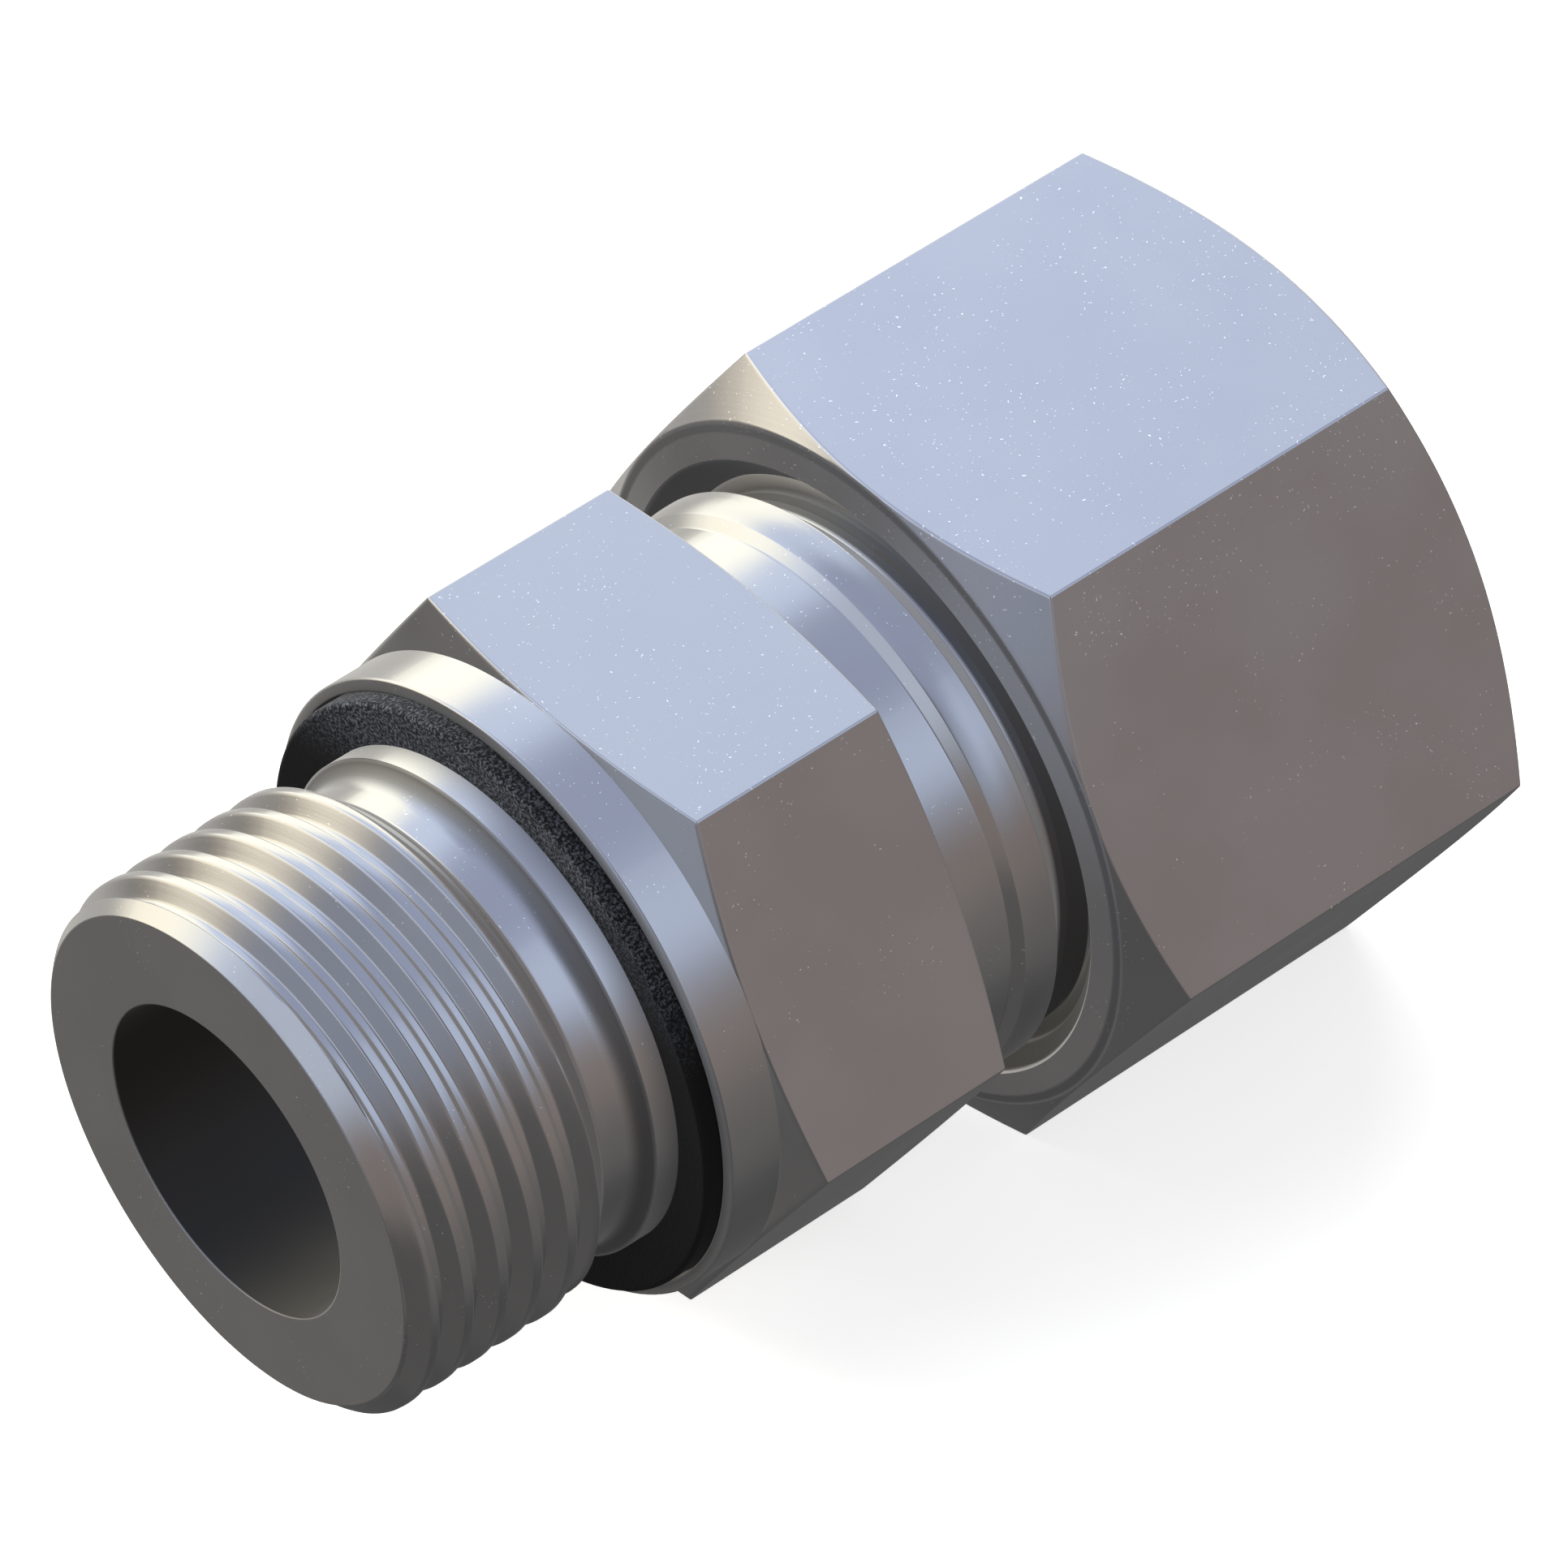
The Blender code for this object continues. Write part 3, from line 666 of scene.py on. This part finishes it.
seal = ring_of(
    "seal",
    [
        (SEAL_FRONT + SEAL_DISH, SEAL_INNER_R, SEAL_LIP_ROUND),
        (SEAL_FRONT, SEAL_OUTER_R, SEAL_ROUND),
        (SEAL_BACK, SEAL_OUTER_R, INNER_ROUND),
        (SEAL_BACK, SEAL_INNER_R, INNER_ROUND),
    ],
)

# %% [markdown]
# The cutting ring has a nose that is wedged into the body's cone until its edge bites the tube, a
# groove behind that edge and a 45 degree back that the nut pushes on.

# %% The cutting ring
NOSE_ROUND, CUT_ROUND, BACK_ROUND = 0.06, 0.03, 0.15
NOSE_R = 10.42
NOSE_REACH = 4.4
SHOULDER_OF_RING = RING_NOSE + NOSE_REACH
RING_CONE_R = NOSE_R + NOSE_REACH * CONE_SLOPE
RING_BACK_FACE = 0.3
RING_END_R = TUBE_R + RING_BACK_FACE
BITE_DEPTH = 0.25
CUTTING_LAND = 0.8
back_station = RING_BACK - (RING_OUTER_R - RING_END_R)
cutting_ring = ring_of(
    "ring",
    [
        (RING_NOSE, TUBE_R, CUT_ROUND),
        (RING_NOSE, NOSE_R, NOSE_ROUND),
        (SHOULDER_OF_RING, RING_CONE_R, INNER_ROUND),
        (SHOULDER_OF_RING + RING_OUTER_R - RING_CONE_R, RING_OUTER_R, BACK_ROUND),
        (back_station, RING_OUTER_R, BACK_ROUND),
        (RING_BACK, RING_END_R, INNER_ROUND),
        (RING_BACK, TUBE_R, INNER_ROUND),
        (SHOULDER_OF_RING, TUBE_R, FINE_ROUND),
        (SHOULDER_OF_RING - BITE_DEPTH, TUBE_R + BITE_DEPTH, FINE_ROUND),
        (RING_NOSE + CUTTING_LAND + BITE_DEPTH, TUBE_R + BITE_DEPTH, FINE_ROUND),
        (RING_NOSE + CUTTING_LAND, TUBE_R, CUT_ROUND),
    ],
)

# %% [markdown]
# The surfaces take the place of the frame's plain solids: each rides on the body that moves it, and
# its solid is hidden. All four are hidden from mirror rays, so that none is mirrored in another and
# the steel shows only the studio around it.

# %% Let each surface ride and stand for its solid
for made, rides_on, node, slot in (
    (body, "body", "fitting_body", "plated_body"),
    (seal, "body", "stud_seal", "black_rubber"),
    (cutting_ring, "ring", "cutting_ring", "hardened_ring"),
    (nut, "nut", "union_nut", "plated_nut"),
):
    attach(made, rides_on)
    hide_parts(node)
    made.visible_glossy = False
    print(made.name, "rides on", rides_on, "for", node)

# %% [markdown]
# Bright zinc on machined steel is a satin mirror: metallic, a little rough, with faint clouds where
# the bath was uneven, fine turning marks, and scattered bright specks where dust and pores in the
# plating catch the light. The specks and the turning marks are effects that several materials
# share, so each is a node group, and every material sets its own amounts.

# %% Helpers for node groups
def new_group(name, inputs, outputs):
    """An empty shader node group with float or vector sockets, and its two end nodes."""
    group = bpy.data.node_groups.new(name, "ShaderNodeTree")
    for label, kind, value in inputs:
        socket = group.interface.new_socket(name=label, in_out="INPUT", socket_type=kind)
        if value is not None:
            socket.default_value = value
    for label, kind in outputs:
        group.interface.new_socket(name=label, in_out="OUTPUT", socket_type=kind)
    return group, group.nodes.new("NodeGroupInput"), group.nodes.new("NodeGroupOutput")


def math_node(tree, operation, first, second=None, clamp=False):
    """A Math node whose inputs are numbers or the outputs of other nodes. Returns its output."""
    node = tree.nodes.new("ShaderNodeMath")
    node.operation = operation
    node.use_clamp = clamp
    for socket, value in zip(node.inputs, (first, second)):
        if isinstance(value, bpy.types.NodeSocket):
            tree.links.new(value, socket)
        elif value is not None:
            socket.default_value = value
    return node.outputs[0]


def split(tree, vector):
    """The X, Y and Z outputs of a vector."""
    node = tree.nodes.new("ShaderNodeSeparateXYZ")
    tree.links.new(vector, node.inputs[0])
    return node.outputs


def noise(tree, vector, scale, detail=2.0, roughness=0.5):
    """A Noise texture's value on a vector."""
    node = tree.nodes.new("ShaderNodeTexNoise")
    node.inputs["Scale"].default_value = scale
    node.inputs["Detail"].default_value = detail
    node.inputs["Roughness"].default_value = roughness
    tree.links.new(vector, node.inputs["Vector"])
    return node.outputs[0]


def ramp(tree, value, low, high):
    """0 below low and 1 above high, smoothly between. Either limit may come from another node."""
    node = tree.nodes.new("ShaderNodeMapRange")
    node.interpolation_type = "SMOOTHSTEP"
    for name, limit in (("From Min", low), ("From Max", high)):
        if isinstance(limit, bpy.types.NodeSocket):
            tree.links.new(limit, node.inputs[name])
        else:
            node.inputs[name].default_value = limit
    tree.links.new(value, node.inputs["Value"])
    return node.outputs[0]


# %% [markdown]
# A speck is a small ball round a point of a Voronoi texture. The surface cuts these balls at
# random, so their spots differ in size, and a little swirl in the coordinates makes them uneven.

# %% Specks of the plating
SPECK_CELLS = 3100.0
SPECK_SWIRL = 2600.0
SPECK_BEND = 0.0005
PATCH_SCALE = 260.0
SPECK_EDGE, PATCH_EDGE = 0.06, 0.08
VECTOR, FLOAT = "NodeSocketVector", "NodeSocketFloat"


def specks_group():
    """Mask of bright specks: the small balls round the points of a Voronoi texture, which the
    surface cuts at random, kept only where a broad noise is high."""
    group, start, end = new_group(
        "plating_specks",
        [("Vector", VECTOR, None), ("Size", FLOAT, 0.12), ("Cover", FLOAT, 0.5)],
        [("Mask", FLOAT)],
    )
    cells = group.nodes.new("ShaderNodeTexVoronoi")
    cells.inputs["Scale"].default_value = SPECK_CELLS
    swirl = group.nodes.new("ShaderNodeTexNoise")
    swirl.inputs["Scale"].default_value = SPECK_SWIRL
    group.links.new(start.outputs["Vector"], swirl.inputs["Vector"])
    bent = group.nodes.new("ShaderNodeVectorMath")
    bent.operation = "MULTIPLY_ADD"
    group.links.new(swirl.outputs["Color"], bent.inputs[0])
    bent.inputs[1].default_value = (SPECK_BEND, SPECK_BEND, SPECK_BEND)
    group.links.new(start.outputs["Vector"], bent.inputs[2])
    group.links.new(bent.outputs["Vector"], cells.inputs["Vector"])
    reach = math_node(group, "SUBTRACT", start.outputs["Size"], cells.outputs["Distance"])
    dot = ramp(group, reach, 0.0, SPECK_EDGE)
    limit = math_node(group, "SUBTRACT", 1.0, start.outputs["Cover"])
    limit_end = math_node(group, "ADD", limit, PATCH_EDGE)
    broad = noise(group, start.outputs["Vector"], PATCH_SCALE, detail=4.0, roughness=0.6)
    patches = ramp(group, broad, limit, limit_end)
    group.links.new(math_node(group, "MULTIPLY", dot, patches), end.inputs["Mask"])
    return group


specks = specks_group()
print("group", specks.name, "nodes", len(specks.nodes))

# %% [markdown]
# A lathe leaves rings, so the marks depend only on the station and the distance from the axis. The
# group works both out from the object's coordinates and stretches a noise round the axis.

# %% Turning marks
MARK_SCALE = 5200.0


def turning_marks_group():
    """Height of fine rings about the axis: a noise of (station, distance from the axis)."""
    group, start, end = new_group("turning_marks", [("Vector", VECTOR, None)], [("Height", FLOAT)])
    x, y, z = split(group, start.outputs["Vector"])
    up = math_node(group, "SUBTRACT", z, AXIS_Z)
    across = math_node(group, "POWER", y, 2.0)
    squares = math_node(group, "ADD", across, math_node(group, "POWER", up, 2.0))
    section = group.nodes.new("ShaderNodeCombineXYZ")
    group.links.new(x, section.inputs[0])
    group.links.new(math_node(group, "SQRT", squares), section.inputs[1])
    rings = noise(group, section.outputs[0], MARK_SCALE, detail=3.0, roughness=0.7)
    group.links.new(rings, end.inputs["Height"])
    return group


turning_marks = turning_marks_group()
print("group", turning_marks.name, "nodes", len(turning_marks.nodes))

# %% [markdown]
# Three more helpers serve the materials themselves: one places a node group, one mixes two colours
# and one starts a material with its shader and the coordinates of its object.

# %% Helpers for materials
COLOUR_A, COLOUR_B, COLOUR_RESULT = 6, 7, 2


def use_group(tree, group, vector, **values):
    """A node of the group, fed with the vector and the given amounts."""
    node = tree.nodes.new("ShaderNodeGroup")
    node.node_tree = group
    tree.links.new(vector, node.inputs["Vector"])
    for name, value in values.items():
        node.inputs[name].default_value = value
    return node


def mix_colour(tree, factor, first, second):
    """Colour that goes from the first to the second as the factor goes from 0 to 1. A Mix node has
    sockets for every kind of data, and COLOUR_A, COLOUR_B and COLOUR_RESULT are those of colours."""
    node = tree.nodes.new("ShaderNodeMix")
    node.data_type = "RGBA"
    for number, value in ((0, factor), (COLOUR_A, first), (COLOUR_B, second)):
        if isinstance(value, bpy.types.NodeSocket):
            tree.links.new(value, node.inputs[number])
        else:
            node.inputs[number].default_value = value
    return node.outputs[COLOUR_RESULT]


def new_material(name):
    """A material with its Principled shader, and the object's coordinates."""
    material = bpy.data.materials.new(name)
    material.use_nodes = True
    tree = material.node_tree
    place = tree.nodes.new("ShaderNodeTexCoord")
    return material, tree, tree.nodes["Principled BSDF"], place.outputs["Object"]


def dress(made, material):
    """Give the piece its material."""
    made.data.materials.append(material)
    print(made.name, "wears", material.name)


# %% [markdown]
# The plated steel puts the effects together. The clouds move the roughness and the brightness by a
# few percent, the specks brighten the metal and lie thickest on top, and marks, specks and grain
# share one Bump node for the normal. Last, the painted shade of the mesh makes the metal dark and
# dull in its hollows.

# %% Plated steel
CLOUD_SCALE = 95.0
CLOUD_LIMITS = (0.35, 0.65)
GRAIN_SCALE = 9000.0
SPECK_COLOUR = (0.95, 0.95, 0.97, 1)
SPECK_RELIEF, GRAIN_RELIEF = 1.5, 0.4
TOP_HEIGHTS, TOP_COVER = (AXIS_Z + 0.013, AXIS_Z + 0.0158), 0.12
# the colour that the painted shade darkens the hollows towards
PAINTED_SHADE_COLOUR = (0.040, 0.037, 0.033, 1)
CLOUD_ROUGHNESS, GRAIN_ROUGHNESS, PAINTED_SHADE_ROUGHNESS = 0.05, 0.05, 0.4


def plated_steel(name, dark, light, roughness, speck_size, speck_cover, mark_height):
    """Satin zinc: base colour between dark and light with the clouds, specks brighter, painted shade
    in the hollows, and roughness that follows clouds, grain and hollows. mark_height is in metres."""
    material, tree, shader, vector = new_material(name)
    shader.inputs["Metallic"].default_value = 1.0
    broad = noise(tree, vector, CLOUD_SCALE, detail=3.0, roughness=0.55)
    clouds = ramp(tree, broad, *CLOUD_LIMITS)
    scattered = use_group(tree, specks, vector, Size=speck_size)
    on_top = ramp(tree, split(tree, vector)["Z"], *TOP_HEIGHTS)
    cover = math_node(tree, "MULTIPLY_ADD", on_top, TOP_COVER)
    cover.node.inputs[2].default_value = speck_cover
    tree.links.new(cover, scattered.inputs["Cover"])
    spots = scattered.outputs["Mask"]
    base = mix_colour(tree, clouds, (*dark, 1), (*light, 1))
    base = mix_colour(tree, spots, base, SPECK_COLOUR)
    # painted shade: the mesh's number darkens and dulls the metal in the hollows
    depth = tree.nodes.new("ShaderNodeAttribute")
    depth.attribute_name = "painted_shade"
    painted_shade = depth.outputs["Fac"]
    tree.links.new(mix_colour(tree, painted_shade, base, PAINTED_SHADE_COLOUR), shader.inputs["Base Color"])
    grain = noise(tree, vector, GRAIN_SCALE, detail=2.0, roughness=0.6)
    cloudy = math_node(tree, "MULTIPLY", clouds, CLOUD_ROUGHNESS)
    uneven = math_node(tree, "ADD", cloudy, roughness - CLOUD_ROUGHNESS)
    uneven = math_node(tree, "ADD", uneven, math_node(tree, "MULTIPLY", painted_shade, PAINTED_SHADE_ROUGHNESS))
    rough = math_node(tree, "ADD", uneven, math_node(tree, "MULTIPLY", grain, GRAIN_ROUGHNESS))
    tree.links.new(rough, shader.inputs["Roughness"])
    marks = use_group(tree, turning_marks, vector).outputs["Height"]
    height = math_node(tree, "ADD", marks, math_node(tree, "MULTIPLY", spots, SPECK_RELIEF))
    height = math_node(tree, "ADD", height, math_node(tree, "MULTIPLY", grain, GRAIN_RELIEF))
    bump = tree.nodes.new("ShaderNodeBump")
    bump.inputs["Distance"].default_value = mark_height
    tree.links.new(height, bump.inputs["Height"])
    tree.links.new(bump.outputs["Normal"], shader.inputs["Normal"])
    return material


# %% [markdown]
# The nut is a trace bluer than the body, and the hardened ring is darker and duller. A row gives
# the piece, the material's name, its dark and its light colour, roughness, the size and the cover of
# its specks, and the depth of its marks in metres.

# %% Dress the steel pieces
PLATINGS = (
    (body, "zinc_plated_body", (0.44, 0.44, 0.45), (0.465, 0.465, 0.475), 0.21, 0.13, 0.48, 0.000002),
    (nut, "zinc_plated_nut", (0.44, 0.44, 0.46), (0.47, 0.47, 0.49), 0.22, 0.14, 0.49, 0.000002),
    (cutting_ring, "hardened_ring_steel", (0.28, 0.28, 0.29), (0.33, 0.33, 0.34), 0.33, 0.1, 0.4, 0.000003),
)
for made, *look in PLATINGS:
    dress(made, plated_steel(*look))

# %% [markdown]
# The seal is nearly black and quite matt. Moulded rubber has a fine pebbly skin. On the upper part
# of the ring, where the window strikes it, the pebbles' tops are painted paler: a painted glint.

# %% Rubber
RUBBER_GRAIN = 7000.0
RUBBER_BLACK = (0.008, 0.008, 0.0085, 1)
PAINTED_GLINT_COLOUR = (0.09, 0.098, 0.118, 1)
PAINTED_GLINT_HEIGHTS = (AXIS_Z + 0.0055, AXIS_Z + 0.0115)
PEBBLE_TOPS = (0.42, 0.68)
PEBBLE_DEPTH = 0.00003
RUBBER_ROUGHNESS, RUBBER_SHINE = 0.5, 0.04


def rubber(name):
    """Matt black with a pebbled skin from a fine noise, and a painted glint on its tops above the axis."""
    material, tree, shader, vector = new_material(name)
    pebbles = noise(tree, vector, RUBBER_GRAIN, detail=3.0, roughness=0.65)
    # painted glint: pebble tops paler on the ring's upper part, where the window's light falls
    upper = ramp(tree, split(tree, vector)["Z"], *PAINTED_GLINT_HEIGHTS)
    painted_lit_tops = math_node(tree, "MULTIPLY", ramp(tree, pebbles, *PEBBLE_TOPS), upper)
    colour = mix_colour(tree, painted_lit_tops, RUBBER_BLACK, PAINTED_GLINT_COLOUR)
    tree.links.new(colour, shader.inputs["Base Color"])
    shader.inputs["Roughness"].default_value = RUBBER_ROUGHNESS
    shader.inputs["Specular IOR Level"].default_value = RUBBER_SHINE
    bump = tree.nodes.new("ShaderNodeBump")
    bump.inputs["Distance"].default_value = PEBBLE_DEPTH
    tree.links.new(pebbles, bump.inputs["Height"])
    tree.links.new(bump.outputs["Normal"], shader.inputs["Normal"])
    return material


dress(seal, rubber("black_rubber"))

# %% [markdown]
# The camera stands above and in front of the stud's end, with a long lens, so the fitting shows
# almost no perspective. It is placed by three directions: right, up and back of the picture.

# %% Camera
LENS_MM, SENSOR_MM = 244.05, 36.0
CAMERA_PLACE = (-0.22548, -0.2521, 0.3730)
CAMERA_RIGHT = np.array([0.752, -0.659, 0.015])
CAMERA_BACK = np.array([-0.465, -0.515, 0.721])


def stand(thing, axes, place):
    """Put a camera or lamp at the place, with its right, up and back along the three axes."""
    turn = np.eye(4)
    turn[:3, :3] = np.stack(axes, axis=1)
    turn[:3, 3] = place
    thing.matrix_world = Matrix(turn.tolist())


camera_data = bpy.data.cameras.new("camera")
camera_data.lens = LENS_MM
camera_data.sensor_width = SENSOR_MM
camera = in_scene("camera", camera_data)
back = CAMERA_BACK / np.linalg.norm(CAMERA_BACK)
up = np.cross(back, CAMERA_RIGHT)
up = up / np.linalg.norm(up)
stand(camera, [np.cross(up, back), up, back], CAMERA_PLACE)
bpy.context.scene.camera = camera
print("camera stands", round(float(np.linalg.norm(CAMERA_PLACE)), 3), "m from the origin")

# %% [markdown]
# The fitting lies on a plain white floor. Its colour is white for the rays of the camera and for
# mirror and glass rays, mixed with a part that the lamps light, so that the shadow stays on it.

# %% Floor
FLOOR_HALF = 4.0
FLOOR_GLOW = 0.62
FLOOR_COLOUR = (0.9, 0.9, 0.9, 1.0)
FLOOR_ROUGHNESS = 0.9


def plane(name, centre, side_a, side_b):
    """A rectangle from its centre and its two half sides, as vectors in metres."""
    centre, a, b = (np.array(v, float) for v in (centre, side_a, side_b))
    mesh = bpy.data.meshes.new(name)
    points = (centre - a - b, centre + a - b, centre + a + b, centre - a + b)
    mesh.from_pydata([tuple(point) for point in points], [], [(0, 1, 2, 3)])
    made = in_scene(name, mesh)
    return made


def seen_directly(tree):
    """1 for rays from the camera, from a mirror or through glass, and 0 for soft bounces."""
    rays = tree.nodes.new("ShaderNodeLightPath")
    both = math_node(tree, "MAXIMUM", rays.outputs["Is Camera Ray"], rays.outputs["Is Glossy Ray"])
    return math_node(tree, "MAXIMUM", both, rays.outputs["Is Transmission Ray"])


floor = plane("floor", (0, 0, 0), (FLOOR_HALF, 0, 0), (0, FLOOR_HALF, 0))
floor_material, tree, shader, vector = new_material("floor_white")
shader.inputs["Base Color"].default_value = FLOOR_COLOUR
shader.inputs["Roughness"].default_value = FLOOR_ROUGHNESS
shader.inputs["Specular IOR Level"].default_value = 0.0
shader.inputs["Emission Color"].default_value = (1, 1, 1, 1)
glow = math_node(tree, "MULTIPLY", seen_directly(tree), FLOOR_GLOW)
tree.links.new(glow, shader.inputs["Emission Strength"])
dress(floor, floor_material)

# %% [markdown]
# Steel shows what stands around it more than what shines on it. The studio is a tent of grey cloth
# that only mirror rays see: dark below, brown grey at the horizon and blue grey above. Dark cloths
# hang on the camera's side, warm windows stand low at the back and cold ones above them and in
# front. A light wall, the bench and the far floor fill the rest. A band is a height and its colour.
# A cloth has its azimuths, its heights, how softly these end, all in degrees, and its colour, and it
# covers the cloths before it.

# %% The tent's bands and cloths
TENT_BANDS = (
    (-60, (0.12, 0.12, 0.12)),
    (-30, (0.24, 0.23, 0.22)),
    (5, (0.40, 0.34, 0.31)),
    (35, (0.62, 0.70, 0.86)),
    (62, (0.58, 0.65, 0.88)),
)
CLOTHS = (
    ("camera_side", (-166, -112), (20, 60), (16, 10), (0.18, 0.18, 0.19)),
    ("camera_low", (-202, -125), (-95, -14), (12, 8), (0.16, 0.155, 0.15)),
    ("far_floor", (100, 158), (-60, -24), (12, 8), (0.235, 0.225, 0.21)),
    ("front_window", (-88, -38), (30, 60), (16, 9), (0.90, 1.02, 1.28)),
    ("high_blue_window", (132, 206), (15, 37), (12, 6), (0.92, 1.02, 1.2)),
    ("low_blue_window", (146, 189), (-10, 9), (8, 4), (0.44, 0.49, 0.60)),
    ("blue_spot", (148, 170), (-34, -8), (6, 7), (0.50, 0.55, 0.65)),
    ("near_bench", (18, 60), (-34, -22), (6, 5), (0.46, 0.49, 0.56)),
    ("warm_wall", (48, 114), (-44, -4), (10, 9), (0.75, 0.73, 0.68)),
    ("cold_window", (36, 146), (20, 54), (12, 9), (1.15, 1.3, 1.62)),
    ("warm_window", (30, 137), (-4, 28), (13, 7), (2.3, 2.25, 1.95)),
    ("low_warm_window", (112, 137), (-9, 12), (13, 8), (2.2, 2.0, 1.55)),
)
print("bands", len(TENT_BANDS), "cloths", len(CLOTHS))

# %% [markdown]
# A cloth's edges are soft, because a satin surface would blur them anyway. Azimuths are compared
# after wrapping their difference to half a turn, so that a cloth may hang across the seam at 180.

# %% Where a cloth hangs
HALF_TURN = 180.0


def cloth_mask(tree, azimuth, height, sides, ends, soft):
    """1 within the azimuths of sides and the heights of ends, in degrees, with soft edges."""
    middle, half = (sides[0] + sides[1]) / 2, (sides[1] - sides[0]) / 2
    off = math_node(tree, "SUBTRACT", azimuth, middle)
    wrapped = tree.nodes.new("ShaderNodeMath")
    wrapped.operation = "WRAP"
    tree.links.new(off, wrapped.inputs[0])
    wrapped.inputs[1].default_value = HALF_TURN
    wrapped.inputs[2].default_value = -HALF_TURN
    off = math_node(tree, "ABSOLUTE", wrapped.outputs[0])
    beside = ramp(tree, off, half - soft[0], half + soft[0])
    above_low = ramp(tree, height, ends[0] - soft[1], ends[0] + soft[1])
    above_high = ramp(tree, height, ends[1] - soft[1], ends[1] + soft[1])
    within = math_node(tree, "MULTIPLY", above_low, math_node(tree, "SUBTRACT", 1.0, above_high))
    return math_node(tree, "MULTIPLY", within, math_node(tree, "SUBTRACT", 1.0, beside))


# %% [markdown]
# The colour comes from the height and the azimuth of the direction alone, so one emission shader
# holds the whole studio.

# %% The tent's colour
def tent_material():
    """Emission by direction: bands of colour over the height, and each cloth laid over them."""
    material = bpy.data.materials.new("tent_cloth")
    material.use_nodes = True
    tree = material.node_tree
    tree.nodes.clear()
    place = tree.nodes.new("ShaderNodeTexCoord")
    unit = tree.nodes.new("ShaderNodeVectorMath")
    unit.operation = "NORMALIZE"
    tree.links.new(place.outputs["Object"], unit.inputs[0])
    x, y, z = split(tree, unit.outputs["Vector"])
    height = math_node(tree, "DEGREES", math_node(tree, "ARCSINE", z))
    azimuth = math_node(tree, "DEGREES", math_node(tree, "ARCTAN2", y, x))
    colour = None
    for (low, first), (high, second) in zip(TENT_BANDS, TENT_BANDS[1:]):
        start = (*first, 1) if colour is None else colour
        colour = mix_colour(tree, ramp(tree, height, low, high), start, (*second, 1))
    for name, sides, ends, soft, strength in CLOTHS:
        mask = cloth_mask(tree, azimuth, height, sides, ends, soft)
        colour = mix_colour(tree, mask, colour, (*strength, 1))
    glow = tree.nodes.new("ShaderNodeEmission")
    tree.links.new(colour, glow.inputs["Color"])
    end = tree.nodes.new("ShaderNodeOutputMaterial")
    tree.links.new(glow.outputs[0], end.inputs["Surface"])
    material.cycles.emission_sampling = "NONE"
    return material


# %% [markdown]
# The tent itself is a plain sphere round the fitting. Camera, soft light and shadows pass it by, so
# it changes only what the steel mirrors.

# %% The tent that the steel mirrors
TENT_RADIUS = 1.2


def tent(name, rings=24, columns=48):
    """A sphere of TENT_RADIUS about the origin, seen by mirror rays alone. The point at angles u
    and v lies in the direction (cos u cos v, cos u sin v, sin u)."""
    u = np.radians(np.linspace(-90, 90, rings + 1))[:, None]
    v = np.radians(np.linspace(0, 360, columns + 1))[None, :]
    points = np.stack([np.cos(u) * np.cos(v), np.cos(u) * np.sin(v), np.sin(u) + 0 * v], axis=2)
    corner = np.arange(points.shape[0] * points.shape[1]).reshape(points.shape[:2])
    quads = np.stack([corner[:-1, :-1], corner[:-1, 1:], corner[1:, 1:], corner[1:, :-1]], axis=2)
    mesh = bpy.data.meshes.new(name)
    mesh.from_pydata((points * TENT_RADIUS).reshape(-1, 3), [], quads.reshape(-1, 4).tolist())
    made = in_scene(name, mesh)
    made.visible_camera = made.visible_diffuse = made.visible_shadow = made.visible_transmission = False
    return made


cloth = tent("tent")
dress(cloth, tent_material())
floor.visible_glossy = False

# %% [markdown]
# Four soft lamps light the floor and the rubber: one low at the back, one for the sky, a key from
# above and a weak fill. All are hidden from mirror rays, because the tent already stands for them
# there. The world gives the rest of the soft light.

# %% Lamps and world
def soft_lamp(name, place, size, power, colour):
    """A square area lamp that faces the origin."""
    data = bpy.data.lights.new(name, "AREA")
    data.size = size
    data.energy = power
    data.color = colour
    lamp = in_scene(name, data)
    away = np.array(place) / np.linalg.norm(place)
    side = np.cross((0, 0, 1), away)
    side = side / np.linalg.norm(side)
    stand(lamp, [side, np.cross(away, side), away], place)
    lamp.visible_glossy = False
    print(name, power, "watts")
    return lamp


soft_lamp("back_lamp", place=(-0.50, 0.95, 0.17), size=0.25, power=20.0, colour=(1.0, 0.96, 0.88))
soft_lamp("sky_lamp", place=(-0.90, 0.25, 0.50), size=0.4, power=3.0, colour=(0.85, 0.92, 1.0))
soft_lamp("key_lamp", place=(0.35, 0.45, 0.9), size=0.9, power=5.0, colour=(0.95, 0.97, 1.0))
soft_lamp("fill_lamp", place=(-0.5, -0.7, 0.8), size=0.9, power=1.5, colour=(1.0, 0.98, 0.96))

WORLD_SOFT = 0.35
world = bpy.data.worlds.new("studio")
bpy.context.scene.world = world
world.use_nodes = True
tree = world.node_tree
background = tree.nodes["Background"]
background.inputs["Color"].default_value = (1, 1, 1, 1)
soft = math_node(tree, "MULTIPLY", seen_directly(tree), 1.0 - WORLD_SOFT)
tree.links.new(math_node(tree, "ADD", soft, WORLD_SOFT), background.inputs["Strength"])

# %% [markdown]
# The Standard view shows the colours as they were worked out. Blender's default view would grey the
# white floor.

# %% Colour management
bpy.context.scene.view_settings.view_transform = "Standard"
print("view", bpy.context.scene.view_settings.view_transform)
